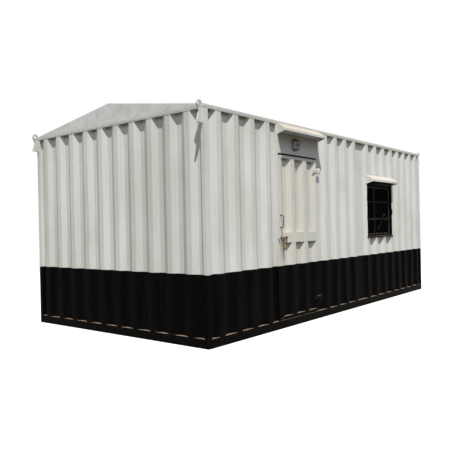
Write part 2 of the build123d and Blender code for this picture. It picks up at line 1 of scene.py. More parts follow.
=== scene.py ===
from functools import partial
from math import atan2, cos, pi, radians, sin
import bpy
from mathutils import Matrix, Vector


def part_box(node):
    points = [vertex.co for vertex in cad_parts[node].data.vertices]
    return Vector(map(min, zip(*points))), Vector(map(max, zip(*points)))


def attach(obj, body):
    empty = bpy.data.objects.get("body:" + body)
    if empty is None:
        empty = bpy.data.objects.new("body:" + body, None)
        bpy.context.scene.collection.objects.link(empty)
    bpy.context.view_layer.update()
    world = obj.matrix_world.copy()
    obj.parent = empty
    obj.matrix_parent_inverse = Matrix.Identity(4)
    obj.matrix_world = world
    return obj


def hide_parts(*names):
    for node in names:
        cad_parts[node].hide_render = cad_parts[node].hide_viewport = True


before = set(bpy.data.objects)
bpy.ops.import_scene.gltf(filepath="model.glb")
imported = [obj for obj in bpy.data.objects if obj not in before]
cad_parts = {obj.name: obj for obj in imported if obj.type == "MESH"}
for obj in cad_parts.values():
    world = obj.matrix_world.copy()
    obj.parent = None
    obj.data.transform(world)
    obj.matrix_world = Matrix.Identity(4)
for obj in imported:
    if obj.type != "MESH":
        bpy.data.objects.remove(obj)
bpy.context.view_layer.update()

from types import SimpleNamespace

import bpy
import numpy as np
from bpy.props import FloatProperty, FloatVectorProperty, PointerProperty
from mathutils import Matrix

bl_info = {
    "name": "Portable site cabin finish",
    "version": (1, 0, 0),
    "blender": (4, 5, 0),
    "location": "3D View > Sidebar > Site Cabin",
    "description": "Folded sheet walls, fittings and finishes of a portable site cabin",
    "category": "Object",
}

CABIN = "cabin"
DOOR = "door"
MILLIMETRE = 0.001
OUT = np.array((1.0, 0.0, 0.0))
ALONG = np.array((0.0, 1.0, 0.0))
UP = np.array((0.0, 0.0, 1.0))
RANDOM_SEED = 7
HINGE_HEIGHT = 0.054


def linear(code):
    """Linear colour of an sRGB hex code, without the hash."""
    shares = [int(code[i : i + 2], 16) / 255 for i in (0, 2, 4)]
    return tuple(c / 12.92 if c <= 0.04045 else ((c + 0.055) / 1.055) ** 2.4 for c in shares)


def colour_property(name, description, code):
    """A colour that the user can change, from an sRGB hex code."""
    return FloatVectorProperty(
        name=name, description=description, subtype="COLOR", size=3, min=0, max=1, default=linear(code)
    )


def length_property(name, description, default):
    """A length in metres that the user can change."""
    return FloatProperty(
        name=name, description=description, default=default, unit="LENGTH", min=0, precision=4
    )


class PaintSettings(bpy.types.PropertyGroup):
    """Colours and sizes of the cabin's paint."""

    enamel: colour_property("Enamel", "Off-white enamel of the walls", "D4D5D3")
    enamel_aged: colour_property("Aged enamel", "The same enamel where it has aged", "CAC9C4")
    door_enamel: colour_property("Door enamel", "Creamier enamel of the door", "D2CFC4")
    grime: colour_property("Grime", "Washed-down dirt on the enamel", "A3A19A")
    # This brown is also the colour of painted shade under rails, the door hood and the window sill, and on
    # undersides.
    stain_and_shade: colour_property("Stain", "Brown wash under rails and hoods", "7A6C48")
    rust: colour_property("Rust", "Rust where the paint has broken", "6A3D22")
    black: colour_property("Black", "Bitumen black of the lower band and the rails", "070708")
    black_film: colour_property("Film on black", "Dry mud film on the black paint", "1A1712")
    dust: colour_property("Dust", "Pink-brown dust lying on ledges", "9A8678")
    roof: colour_property("Roof", "Chalked grey-white roof paint", "B6B8B7")
    roof_aged: colour_property("Aged roof", "Roof paint where dirt has dried", "9FA19E")
    gable: colour_property("Gable", "Grey-white paint of the gable plates", "D8D9D7")
    gable_aged: colour_property("Aged gable", "The same paint where it has chalked", "C6C8C7")
    band_height: length_property("Band height", "Top of the black band", 0.762)
    band_waver: length_property("Band waver", "How far the band's brushed edge wanders", 0.010)


class SheetSettings(bpy.types.PropertyGroup):
    """Sizes of the folded wall sheets and the welds."""

    bend_radius: length_property("Bend radius", "Outside radius of each fold", 0.006)
    thickness: length_property("Thickness", "Thickness of the wall sheet", 0.002)
    dent_depth: length_property("Dent depth", "Deepest waviness of a sheet", 0.0022)
    weld_size: length_property("Weld size", "Leg of a weld bead", 0.005)
    weld_ripple: length_property("Weld ripple", "Length of one ripple of a bead", 0.006)


class StageSettings(bpy.types.PropertyGroup):
    """Floor, lights and camera."""

    floor_colour: colour_property("Floor", "Pale studio floor", "E6E6E6")
    floor_bounce: colour_property("Floor bounce", "Grey that the floor sends back to the object", "76777A")
    key_strength: FloatProperty(name="Key", description="Strength of the key light", default=5.4, min=0)
    key_spread: FloatProperty(
        name="Key spread", description="Angle that the key light fills", default=radians(1.4), subtype="ANGLE"
    )
    sky_strength: FloatProperty(name="Fill", description="Strength of the even fill", default=0.35, min=0)
    lens: FloatProperty(name="Lens", description="Focal length on a 36 mm wide sensor", default=44.359, min=1)


def settings():
    """The scene's own settings: paint, sheet and stage."""
    scene = bpy.context.scene
    return scene.site_cabin_paint, scene.site_cabin_sheet, scene.site_cabin_stage


# Finishes
# A recipe is a function of `node`, which adds to the material's tree, the object coordinates and the grains.
# It gives back the ground colour, the layers over it as (share, colour), the relief as (height, depth in
# millimetres, strength), and the shader's other inputs.

SMOOTH = {"interpolation_type": "SMOOTHSTEP"}
COLOURS = {"data_type": "RGBA"}
TIMES = {"operation": "MULTIPLY"}
PLUS = {"operation": "ADD"}
TIMES_PLUS = {"operation": "MULTIPLY_ADD"}
MINUS = {"operation": "SUBTRACT"}
LARGER = {"operation": "MAXIMUM"}
OVER = {"operation": "GREATER_THAN"}
UNDER = {"operation": "LESS_THAN"}
TO_AND_FRO = {"operation": "PINGPONG"}
EVEN = (1, 1, 1)
WALL_X = 1.0
WHITE = (1.0, 1.0, 1.0, 1.0)


def add(tree, kind, properties=None, inputs=(), output=0):
    """Add a shader node with its settings and links, and give back one output, or all of them for None."""
    made = tree.nodes.new("ShaderNode" + kind)
    for name, value in (properties or {}).items():
        setattr(made, name, value)
    for name, value in inputs.items() if isinstance(inputs, dict) else enumerate(inputs):
        if isinstance(value, bpy.types.NodeSocket):
            tree.links.new(value, made.inputs[name])
        else:
            made.inputs[name].default_value = value
    return made.outputs if output is None else made.outputs[output]


def opaque(colour):
    """A colour with full alpha, for a node's socket. A hex code is turned to linear first."""
    return (*(linear(colour) if isinstance(colour, str) else colour), 1.0)


def mixed(name, grains, recipe, *choices):
    """A material: its grains as noises, its recipe's layers laid over its ground, its relief and its shader.

    A grain is its size in millimetres, its stretch along the axes, its detail and its roughness.
    """
    material = bpy.data.materials.new(name)
    material.use_nodes = True
    node = partial(add, material.node_tree)
    material.node_tree.nodes.clear()
    place = node("TexCoord", output="Object")
    found = {}
    for pattern, (size, stretch, detail, roughness) in grains.items():
        scale = [1 / (size * MILLIMETRE * share) for share in stretch]
        scaled = node("Mapping", {}, {"Vector": place, "Scale": scale})
        inputs = {"Vector": scaled, "Scale": 1.0, "Detail": detail, "Roughness": roughness}
        found[pattern] = node("TexNoise", {}, inputs, "Fac")
    grain = SimpleNamespace(**found)
    ground, layers, (height, depth, strength), inputs = recipe(node, place, grain, *choices)
    colour = opaque(ground)
    for share, over in layers:
        colour = node("Mix", COLOURS, {0: share, 6: colour, 7: opaque(over)}, 2)
    relief = node("Bump", {}, {"Strength": strength, "Distance": depth * MILLIMETRE, "Height": height})
    shader = node("BsdfPrincipled", {}, {"Base Color": colour, "Normal": relief, **inputs})
    node("OutputMaterial", {}, {"Surface": shader}, None)
    return material


ENAMEL_GRAINS = {
    "patches": (550, (1, 1, 1.8), 3, 0.55),  # one arm's reach of brushing beside the next
    "streaks": (30, (1, 1, 26), 4, 0.55),  # runs of rain down the sheet
    "hairlines": (7, (1, 1, 60), 2, 0.55),  # brush hairs are 1 mm apart, drawn coarser so that they show
    "specks": (10, EVEN, 2, 0.55),  # chips are 2 to 3 mm, drawn coarser so that they show
    "mottle": (45, EVEN, 4, 0.70),  # blotches of dried dirt
    "film": (60, (1, 1, 12), 3, 0.55),  # mud that ran down the black band
    "edge": (140, EVEN, 3, 0.55),  # how a hand-held brush wanders along the band
    "dents": (160, (1, 1, 2.4), 1, 0.55),  # waviness between two ribs
}


def weathered_enamel(node, place, grain, fresh, washes_and_shade, chips, ledge_dust, broken_run):
    """Brushed enamel on folded steel: a soft sheen, faint brush marks, washed-down grime, dusty ledges, and
    painted shade under rails, hoods and sills and on undersides.

    Bitumen black covers it below the band's height. A wash is (start, end, top, reach, strength, colour):
    it runs down from a fitting between two places along the wall, and thins as it falls. Some washes are
    painted shade.
    """
    paint = settings()[0]
    at = node("SeparateXYZ", {}, (place,), None)
    upward = node("SeparateXYZ", {}, (node("NewGeometry", output="Normal"),), "Z")
    layers = [(node("MapRange", SMOOTH, (grain.patches, 0.36, 0.68)), paint.enamel_aged)]

    grime = 0.0
    for pattern, low, high, share in (
        (grain.streaks, 0.50, 0.80, 0.30),
        (grain.hairlines, 0.58, 0.85, 0.16),
        (grain.mottle, 0.45, 0.75, 0.12),
    ):
        grime = node("Math", PLUS, (node("MapRange", SMOOTH, (pattern, low, high, 0.0, share)), grime))
    layers.append((grime, paint.grime))

    # Darkens the lowest strip of the top rail, from 36 to 12 mm above its foot, in the grime colour, in
    # mottled strength.
    rail_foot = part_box("top_rail_door_side")[0].z
    rail_strip_strength = node("MapRange", SMOOTH, (grain.mottle, 0.30, 0.60, 0.35, 0.75))
    low_on_rail = node("MapRange", SMOOTH, (at["Z"], rail_foot + 0.036, rail_foot + 0.012, 0.0, rail_strip_strength))
    on_rail = node("Math", OVER, (at["Z"], rail_foot))
    layers.append((node("Math", TIMES, (low_on_rail, on_rail)), paint.grime))

    # A folded sheet knows how deep each point lies in its recess, and how far it is below the sheet's top.
    recess = node("Attribute", {"attribute_name": "recess"}, output="Fac")
    below_top = node("Attribute", {"attribute_name": "below_top"}, output="Fac")
    # Painted shade: the top of each recess just under the rail is darkened in the stain colour, deepest at
    # the recess floor.
    under_rail = node("MapRange", SMOOTH, (below_top, 0.050, 0.006, 0.0, recess))
    broken = node("MapRange", SMOOTH, (grain.streaks, 0.30, 0.62, 0.55, 0.95))
    layers.append((node("Math", TIMES, (under_rail, broken)), paint.stain_and_shade))
    # Painted shade: faces that look downward are darkened in the stain colour, in blotches.
    blotched = node("MapRange", SMOOTH, (grain.mottle, 0.30, 0.60, 0.55, 0.95))
    layers.append((node("MapRange", SMOOTH, (upward, -0.30, -0.85, 0.0, blotched)), paint.stain_and_shade))
    # Each wash darkens the wall below a fitting; those under the door hood and the window sill are painted
    # shade, the others are rust and grime.
    for start, end, top, reach, strength, colour in washes_and_shade:
        run = node("MapRange", SMOOTH, (grain.streaks, 0.36, 0.66, strength * broken_run, strength))
        run = node("MapRange", SMOOTH, (at["Y"], start, start + 0.03, 0.0, run))
        run = node("MapRange", SMOOTH, (at["Y"], end, end - 0.03, 0.0, run))
        run = node("MapRange", SMOOTH, (at["Z"], top - reach, top, 0.0, run))
        for side, axis, limit in ((UNDER, "Z", top), (OVER, "X", WALL_X)):
            run = node("Math", TIMES, (run, node("Math", side, (at[axis], limit))))
        layers.append((run, colour))

    wander = paint.band_waver / 2
    level = node("Math", PLUS, (at["Z"], node("MapRange", {}, (grain.edge, 0.0, 1.0, -wander, wander))))
    edge = 0.0015
    band = node("MapRange", SMOOTH, (level, paint.band_height + edge, paint.band_height - edge))
    film = node("MapRange", SMOOTH, (grain.film, 0.46, 0.82, 0.0, 0.35))
    splashed = node("MapRange", SMOOTH, (at["Z"], 0.28, 0.03, 0.0, 0.8))
    splash = node("MapRange", SMOOTH, (grain.mottle, 0.46, 0.70, 0.0, splashed))
    mud = node("Math", TIMES, (band, node("Math", LARGER, (film, splash))))
    layers += [(band, paint.black), (mud, paint.black_film)]

    cover = node("MapRange", SMOOTH, (band, 0.0, 1.0, ledge_dust, 0.62))
    lying = node("MapRange", SMOOTH, (upward, 0.30, 0.75, 0.0, cover))
    dust = node("Math", TIMES, (lying, node("MapRange", SMOOTH, (grain.mottle, 0.30, 0.58, 0.84, 1.0))))
    chipped = node("MapRange", SMOOTH, (grain.patches, 0.50, 0.60, 0.0, chips))
    rust = node("MapRange", SMOOTH, (grain.specks, 0.72, 0.76, 0.0, chipped))
    layers += [(dust, paint.dust), (rust, paint.rust)]

    dry = node("MapRange", {}, (node("Math", LARGER, (dust, rust)), 0.0, 1.0, 0.51, 0.86))
    height = 0.0
    for pattern, share in ((grain.hairlines, 0.3), (grain.specks, 0.25), (grain.dents, 1.2)):
        height = node("Math", TIMES_PLUS, (pattern, share, height))
    rough = node("Math", PLUS, (dry, node("MapRange", SMOOTH, (grain.streaks, 0.3, 0.8, 0.0, 0.12))))
    return fresh, layers, (height, 1.4, 0.35), {"Roughness": rough, "Specular IOR Level": 0.012}


CHALK_GRAINS = {
    "clouds": (160, EVEN, 6, 0.66),  # chalking in clouds a hand across
    "drifts": (700, EVEN, 3, 0.55),  # dust blown together
    "runs": (30, (14, 1, 10), 3, 0.55),  # dirt run down the slope
    "grit": (6, EVEN, 2, 0.55),  # rust specks are 1 to 2 mm, drawn coarser so that they show
}


def chalked_paint(node, place, grain, fresh, aged, lying):
    """Sun-chalked paint: dry and matt, softly clouded, with thin dirt runs and grime along the laps."""
    paint = settings()[0]
    upward = node("SeparateXYZ", {}, (node("NewGeometry", output="Normal"),), "Z")
    along = node("SeparateXYZ", {}, (place,), "Y")
    flat = node("MapRange", SMOOTH, (upward, 0.5, 0.9, 0.0, lying))
    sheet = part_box("roof_door_slope")[1].y * 2 / 5
    to_lap = node("Math", TO_AND_FRO, (node("Math", PLUS, (along, 10.5 * sheet)), sheet / 2))
    cloudy = node("MapRange", SMOOTH, (grain.clouds, 0.2, 0.6, 0.3, 0.8))
    cloudy_top = node("MapRange", SMOOTH, (upward, 0.5, 0.9, 0.0, cloudy))
    layers = (
        (node("MapRange", SMOOTH, (grain.clouds, 0.34, 0.68)), aged),
        (node("MapRange", SMOOTH, (grain.runs, 0.50, 0.80, 0.0, 0.35)), paint.grime),
        (node("MapRange", SMOOTH, (grain.drifts, 0.45, 0.75, 0.0, flat)), paint.dust),
        (node("MapRange", SMOOTH, (to_lap, 0.045, 0.015, 0.0, cloudy_top)), paint.grime),
        # Painted shade: faces that look downward are darkened in the stain colour.
        (node("MapRange", SMOOTH, (upward, -0.3, -0.8)), paint.stain_and_shade),
        (node("MapRange", SMOOTH, (grain.grit, 0.70, 0.76, 0.0, 0.6)), paint.rust),
    )
    height = node("Math", TIMES_PLUS, (grain.grit, 0.2, grain.clouds))
    rough = node("MapRange", SMOOTH, (grain.clouds, 0.3, 0.7, 0.62, 0.86))
    return fresh, layers, (height, 2.0, 0.4), {"Roughness": rough, "Specular IOR Level": 0.10}


BLACK_GRAINS = {
    "patches": (30, (1, 1, 1.6), 5, 0.70),  # mud film dried in patches
    "specks": (6, EVEN, 2, 0.55),  # rust specks, drawn coarser than their 1 to 2 mm
}


def bitumen_black(node, place, grain, film_share, sheen):
    """Black enamel on rails and sashes: hardly a highlight, patches of mud film, pale dust on ledges."""
    paint = settings()[0]
    upward = node("SeparateXYZ", {}, (node("NewGeometry", output="Normal"),), "Z")
    film = node("MapRange", SMOOTH, (grain.patches, 0.46, 0.72, 0.0, film_share))
    cover = node("MapRange", SMOOTH, (grain.patches, 0.32, 0.60, 0.25, 0.75))
    dust = node("MapRange", SMOOTH, (upward, 0.35, 0.80, 0.0, cover))
    layers = (
        (film, paint.black_film),
        (node("MapRange", SMOOTH, (grain.specks, 0.70, 0.75, 0.0, 0.8)), paint.rust),
        (dust, paint.dust),
    )
    rough = node("MapRange", {}, (node("Math", LARGER, (film, dust)), 0.0, 1.0, sheen, sheen + 0.3))
    height = node("Math", PLUS, (grain.patches, grain.specks))
    return paint.black, layers, (height, 0.8, 0.4), {"Roughness": rough, "Specular IOR Level": 0.012}


STEEL_GRAINS = {
    "scale": (12, EVEN, 5, 0.70),  # flakes of scale
    "pits": (3, EVEN, 2, 0.55),  # pits
    "rubs": (20, EVEN, 2, 0.55),  # where the bolt and the padlock rub
}


def weathered_steel(node, place, grain):
    """Bare mild steel left outside: brown scale with darker pits, and grey metal where it is still rubbed."""
    rubbed = node("MapRange", SMOOTH, (grain.rubs, 0.58, 0.68))
    layers = (
        (node("MapRange", SMOOTH, (grain.scale, 0.38, 0.64)), "3A2417"),
        (node("MapRange", SMOOTH, (grain.pits, 0.56, 0.70, 0.0, 0.6)), "8A5A32"),
        (rubbed, "8C8A86"),
    )
    inputs = {
        "Metallic": node("MapRange", SMOOTH, (grain.rubs, 0.58, 0.68, 0.0, 0.8)),
        "Roughness": node("MapRange", SMOOTH, (rubbed, 0.0, 1.0, 0.88, 0.42)),
    }
    return settings()[0].rust, layers, (node("Math", PLUS, (grain.scale, grain.pits)), 0.6, 0.7), inputs


HANDLE_GRAINS = {
    "wear": (18, (1, 1, 2), 4, 0.55),  # patches worn through by a hand's grip
    "smudge": (30, EVEN, 3, 0.55),  # finger marks
}


def worn_handle_enamel(node, place, grain):
    """Dark enamel polished by hands: a clear highlight, worn through to steel in small patches."""
    wear = node("MapRange", SMOOTH, (grain.wear, 0.57, 0.62))
    inputs = {
        "Metallic": node("MapRange", SMOOTH, (grain.wear, 0.57, 0.62, 0.0, 0.9)),
        "Roughness": node("MapRange", SMOOTH, (grain.smudge, 0.3, 0.7, 0.28, 0.46)),
    }
    layers = ((grain.smudge, "2A2621"), (wear, "77736C"))
    return "1A1917", layers, (node("Math", MINUS, (grain.smudge, wear)), 0.3, 0.4), inputs


GLASS_GRAINS = {
    "bloom": (110, (1, 1, 1.5), 4, 0.55),  # dust caught in blooms
    "runs": (12, (1, 1, 18), 2, 0.55),  # rain tracks
}


def dusty_window_glass(node, place, grain):
    """Float glass in front of a dark room, tinted nearly black so that it paints the room's shade, with a
    thin brown-grey dust film.

    Its IOR is below that of glass, because the white studio would be mirrored in it, where a real pane
    outdoors mirrors darker surroundings.
    """
    tracks = node("MapRange", SMOOTH, (grain.runs, 0.3, 0.7, 0.036, 0.06))
    film = node("MapRange", SMOOTH, (grain.bloom, 0.42, 0.80, 0.0, tracks))
    inputs = {
        "Roughness": node("MapRange", SMOOTH, (film, 0.0, 0.1, 0.03, 0.16)),
        "Transmission Weight": node("MapRange", SMOOTH, (film, 0.0, 0.1, 1.0, 0.97)),
        "IOR": 1.02,
        "Specular IOR Level": 0.2,
    }
    # The near-black ground tint is painted shade of the room behind the pane.
    return "1A1E1D", ((film, "34322D"),), (grain.bloom, 0.3, 0.2), inputs


LAMP_GLASS_GRAINS = {"cloud": (20, EVEN, 3, 0.55)}  # milky cloud and settled dust


def pressed_lamp_glass(node, place, grain):
    """Thick pressed glass over a lamp: milky, a little green in depth, dusty on top."""
    upward = node("SeparateXYZ", {}, (node("NewGeometry", output="Normal"),), "Z")
    top = node("MapRange", SMOOTH, (upward, 0.1, 0.7))
    dust = node("MapRange", SMOOTH, (grain.cloud, 0.3, 0.6, 0.0, top))
    layers = ((grain.cloud, "767E7A"), (node("Math", TIMES, (dust, 0.6)), settings()[0].dust))
    rough = node("MapRange", SMOOTH, (dust, 0.0, 1.0, 0.16, 0.55))
    inputs = {"Roughness": rough, "Transmission Weight": 0.25, "IOR": 1.5}
    return "949C98", layers, (grain.cloud, 0.4, 0.3), inputs


ZINC_GRAINS = {"skin": (4.8, EVEN, 4, 0.65), "fine": (0.8, EVEN, 2, 0.55)}  # white bloom, and plating grain
BRASS_GRAINS = {"skin": (6, EVEN, 4, 0.65), "fine": (1, EVEN, 2, 0.55)}  # brown tarnish, and drawn grain


def small_metal(node, place, grain, bright, dull, roughness):
    """Small hardware metal: its own colour where clean, a duller skin in blotches, and a fine grain."""
    tarnish = node("MapRange", SMOOTH, (grain.skin, 0.40, 0.64))
    inputs = {
        "Metallic": node("MapRange", SMOOTH, (tarnish, 0.0, 1.0, 0.95, 0.35)),
        "Roughness": node("MapRange", SMOOTH, (tarnish, 0.0, 1.0, roughness, roughness + 0.35)),
    }
    return bright, ((tarnish, dull),), (node("Math", PLUS, (grain.skin, grain.fine)), 0.3, 0.5), inputs


PLYWOOD_GRAINS = {
    "grain": (12, (1, 30, 1), 5, 0.60),  # grain of the face veneer, along the cabin
    "figure": (70, (1, 9, 1), 3, 0.55),  # broad figure of the veneer
    "walked": (500, EVEN, 4, 0.55),  # where feet bring dust in
}
PLYWOOD_SHEET = 1.22


def plywood_deck(node, place, grain):
    """Film-faced plywood floor: warm brown grain along the cabin, darker joints and walked-in grey dust."""
    moved = node("Math", PLUS, (node("SeparateXYZ", {}, (place,), "Y"), 10 * PLYWOOD_SHEET))
    joint = node("Math", TO_AND_FRO, (moved, PLYWOOD_SHEET / 2))
    layers = (
        (grain.figure, "8A5F3D"),
        (node("MapRange", SMOOTH, (grain.grain, 0.42, 0.66)), "4E301D"),
        (node("MapRange", SMOOTH, (joint, 0.003, 0.0015)), "1E1510"),
        (node("MapRange", SMOOTH, (grain.walked, 0.40, 0.70, 0.0, 0.45)), settings()[0].dust),
    )
    height = node("Math", PLUS, (grain.grain, node("MapRange", SMOOTH, (joint, 0.0, 0.004))))
    rough = node("MapRange", SMOOTH, (grain.walked, 0.3, 0.7, 0.42, 0.75))
    return "6B452B", layers, (height, 0.8, 0.5), {"Roughness": rough}


LINING_GRAINS = {
    "roller": (20, (3, 3, 1), 3, 0.55),  # marks of the coating roller
    "clouds": (400, EVEN, 3, 0.55),  # yellowing
}


def lining_laminate(node, place, grain, bright, dull):
    """Laminated hardboard: smooth, with a satin glow, faint roller marks and grey hand marks low down."""
    low_down = node("MapRange", SMOOTH, (node("SeparateXYZ", {}, (place,), "Z"), 1.5, 0.4, 0.0, 0.35))
    marks = node("MapRange", SMOOTH, (grain.roller, 0.50, 0.75, 0.0, low_down))
    layers = ((node("MapRange", SMOOTH, (grain.clouds, 0.35, 0.70)), dull), (marks, "7E776A"))
    rough = node("MapRange", SMOOTH, (grain.roller, 0.3, 0.7, 0.38, 0.52))
    return bright, layers, (grain.roller, 0.4, 0.3), {"Roughness": rough}


PUTTY_GRAINS = {"smear": (20, EVEN, 4, 0.55)}  # finger-wide smears
PUTTY_CRACKS = 6.25  # shrinkage cracks are this many millimetres apart


def glazing_putty(node, place, grain):
    """Dried linseed putty: matt grey-brown, finger-smoothed, with fine shrinkage cracks."""
    inputs = {"Vector": place, "Scale": 1 / (PUTTY_CRACKS * MILLIMETRE)}
    cracks = node("TexVoronoi", {"feature": "DISTANCE_TO_EDGE"}, inputs, "Distance")
    height = node("Math", PLUS, (grain.smear, node("MapRange", SMOOTH, (cracks, 0.0, 0.06))))
    return "2A2723", ((grain.smear, "3B362F"),), (height, 0.4, 0.6), {"Roughness": 0.85}


# Surfaces


def shell(points, quads, triangles=()):
    """A closed surface from points and faces, turned to face outward by the sign of its volume."""
    points = np.asarray(points, float).reshape(-1, 3)
    quads = np.asarray(quads, int).reshape(-1, 4)
    triangles = np.asarray(triangles, int).reshape(-1, 3)
    halves = np.vstack([quads[:, :3], quads[:, [0, 2, 3]], triangles])
    first, second, third = (points[halves[:, i]] for i in range(3))
    if np.einsum("ij,ij->", first, np.cross(second, third)) < 0:
        quads, triangles = quads[:, ::-1], triangles[:, ::-1]
    return points, quads, triangles


def joined(shells):
    """Several closed surfaces kept as one list of points and faces."""
    counts = [len(points) for points, quads, triangles in shells]
    starts = np.cumsum([0, *counts[:-1]])
    points = np.vstack([each[0] for each in shells])
    quads = np.vstack([each[1] + start for each, start in zip(shells, starts)])
    triangles = np.vstack([each[2] + start for each, start in zip(shells, starts)])
    return points, quads, triangles


def piece_from(name, surface, smooth_limit=35.0):
    """A mesh object from a surface, smooth except over bends sharper than the limit."""
    points, quads, triangles = surface
    mesh = bpy.data.meshes.new(name)
    mesh.from_pydata(points.tolist(), [], quads.tolist() + triangles.tolist())
    mesh.polygons.foreach_set("use_smooth", np.ones(len(quads) + len(triangles), bool))
    mesh.set_sharp_from_angle(angle=radians(smooth_limit))
    piece = bpy.data.objects.new(name, mesh)
    bpy.context.scene.collection.objects.link(piece)
    return piece


def unit(vectors):
    """The same directions with a length of one."""
    vectors = np.asarray(vectors, float)
    return vectors / np.linalg.norm(vectors, axis=-1, keepdims=True)


def carried(rings, loop=False):
    """Closed sections joined one to the next. Open ends are closed by fans round their middles."""
    levels, around = rings.shape[:2]
    index = np.arange(levels * around).reshape(levels, around)
    start = index if loop else index[:-1]
    ahead = np.roll(index, -1, axis=0) if loop else index[1:]
    quads = np.stack([start, np.roll(start, -1, 1), np.roll(ahead, -1, 1), ahead], -1)
    points = rings.reshape(-1, 3)
    if loop:
        return shell(points, quads)
    hub = np.full(around, levels * around)
    first = np.stack([np.roll(index[0], -1), index[0], hub], -1)
    last = np.stack([index[-1], np.roll(index[-1], -1), hub + 1], -1)
    return shell(np.vstack([points, rings[[0, -1]].mean(1)]), quads, np.vstack([first, last]))


def along_path(path, section, across):
    """Rings of a flat section carried along a path, square to it, its first side kept on `across`."""
    path = np.asarray(path, float)
    tangent = unit(np.gradient(path, axis=0))
    first = unit(across - (tangent @ across)[:, None] * tangent)
    second = np.cross(tangent, first)
    return path[:, None] + section[..., :1] * first[:, None] + section[..., 1:] * second[:, None]


def rounded_path(corners, radius, steps=5):
    """A line whose corners become parabolas that start and end a radius away from each corner."""
    corners = np.asarray(corners, float)
    before, at, after = corners[:-2], corners[1:-1], corners[2:]
    back, ahead = unit(before - at) * radius, unit(after - at) * radius
    share = np.linspace(0, 1, steps)[None, :, None]
    bend = at[:, None] + (1 - share) ** 2 * back[:, None] + share**2 * ahead[:, None]
    return np.vstack([corners[:1], bend.reshape(-1, corners.shape[1]), corners[-1:]])


def round_section(radius, points=12):
    """Circle as points."""
    angle = 2 * pi * np.arange(points) / points
    return radius * np.stack([np.cos(angle), np.sin(angle)], -1)


def bar_section(width, depth, rounding, steps=3):
    """Rectangle whose corners are quarter circles."""
    angle = np.linspace(0, pi / 2, steps)[None, :] + np.arange(4)[:, None] * pi / 2
    signs = np.array([(1, 1), (-1, 1), (-1, -1), (1, -1)])
    centres = signs * (width / 2 - rounding, depth / 2 - rounding)
    return (centres[:, None] + rounding * np.stack([np.cos(angle), np.sin(angle)], -1)).reshape(-1, 2)


def turned(place, axis, profile, points=24):
    """A profile of (height, radius) turned round an axis through a place."""
    axis = unit(axis)
    first = unit(np.cross(axis, UP if abs(axis[2]) < 0.9 else OUT))
    second = np.cross(axis, first)
    circle = round_section(1.0, points)
    spokes = circle[:, :1] * first + circle[:, 1:] * second
    height, radius = np.asarray(profile, float).T
    return carried(np.asarray(place) + height[:, None, None] * axis + radius[:, None, None] * spokes)


def soft_block(low, high, edge):
    """Box with rounded edges: a rounded rectangle carried up, drawn in by a quarter circle at both ends."""
    low, high = np.asarray(low, float), np.asarray(high, float)
    size = high - low
    turn = np.linspace(0, pi / 2, 3)
    inset = edge * (1 - np.sin(turn))
    level = edge * (1 - np.cos(turn))
    inset = np.concatenate([inset, inset[::-1]])[:, None, None]
    level = np.concatenate([low[2] + level, (high[2] - level)[::-1]])
    share = 1 - 2 * 0.98 * inset / size[:2]
    flat = bar_section(size[0], size[1], edge * 0.99)[None] * share + (low[:2] + high[:2]) / 2
    height = np.broadcast_to(level[:, None, None], (*flat.shape[:2], 1))
    return carried(np.concatenate([flat, height], -1))


def dome_heads(places, outward, radius, height, sides=10):
    """Domed heads, one at each place: rings on a low cap, closed at its middle."""
    shares = ((-0.3, 1.0), (0.35, 0.94), (0.82, 0.60), (1.0, 0.2))
    profile = [(level * height, share * radius) for level, share in shares]
    points, quads, triangles = turned((0, 0, 0), outward, profile, sides)
    places = np.asarray(places, float).reshape(-1, 3)
    step = np.arange(len(places))[:, None, None] * len(points)
    every = (places[:, None] + points[None]).reshape(-1, 3)
    return every, (quads[None] + step).reshape(-1, 4), (triangles[None] + step).reshape(-1, 3)


def weld_bead(start, end, size, seed):
    """Round bead between two points, whose radius swells once each ripple and tapers to its ends."""
    ripple = settings()[1].weld_ripple
    start, end = np.asarray(start, float), np.asarray(end, float)
    length = np.linalg.norm(end - start)
    count = max(int(2 * length / ripple), 6)
    share = np.linspace(0, 1, count + 1)
    chance = np.random.default_rng(seed)
    radius = 0.90 + 0.10 * (-1.0) ** np.arange(count + 1) + chance.normal(0, 0.05, count + 1)
    radius *= size * np.clip(np.minimum(share, 1 - share) * length / size, 0.4, 1)
    across = OUT if abs(unit(end - start)[0]) < 0.9 else UP
    path = start + share[:, None] * (end - start)
    return carried(along_path(path, round_section(1.0, 7)[None] * radius[:, None, None], across))


def weld_beads(runs, size):
    """Beads along a list of runs, each from one point to another."""
    beads = [weld_bead(*ends, size, RANDOM_SEED + number) for number, ends in enumerate(runs)]
    return joined(beads)


def node_points(node):
    """A CAD node's own points as an array."""
    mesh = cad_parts[node].data
    points = np.empty(len(mesh.vertices) * 3, np.float32)
    mesh.vertices.foreach_get("co", points)
    return points.reshape(-1, 3).astype(float)


def node_corners(node, along_axis, outward):
    """Corners of a CAD sheet's outer face in plan, read from its mesh, as (along, out)."""
    points = node_points(node)
    along = np.round(points[:, along_axis], 5)
    out = points[:, 1 - along_axis] * outward
    return np.array([(place, out[along == place].max()) for place in np.unique(along)])


def rounded_profile(corners, radius, spacing=0.022):
    """Each corner of a line becomes a parabola that spans its bend, then long flats are divided."""
    before, at, after = corners[:-2], corners[1:-1], corners[2:]
    back, ahead = unit(before - at), unit(after - at)
    turn = pi - np.arccos(np.clip((back * ahead).sum(1), -1, 1))
    reach = np.minimum(radius * np.tan(turn / 2), 0.010)[:, None]
    line = rounded_path(corners, reach)
    run = np.concatenate([[0], np.cumsum(np.linalg.norm(np.diff(line, axis=0), axis=1))])
    stations = np.unique(np.round(np.concatenate([run, np.arange(0, run[-1], spacing)]), 5))
    return np.stack([np.interp(stations, run, line[:, k]) for k in (0, 1)], -1)


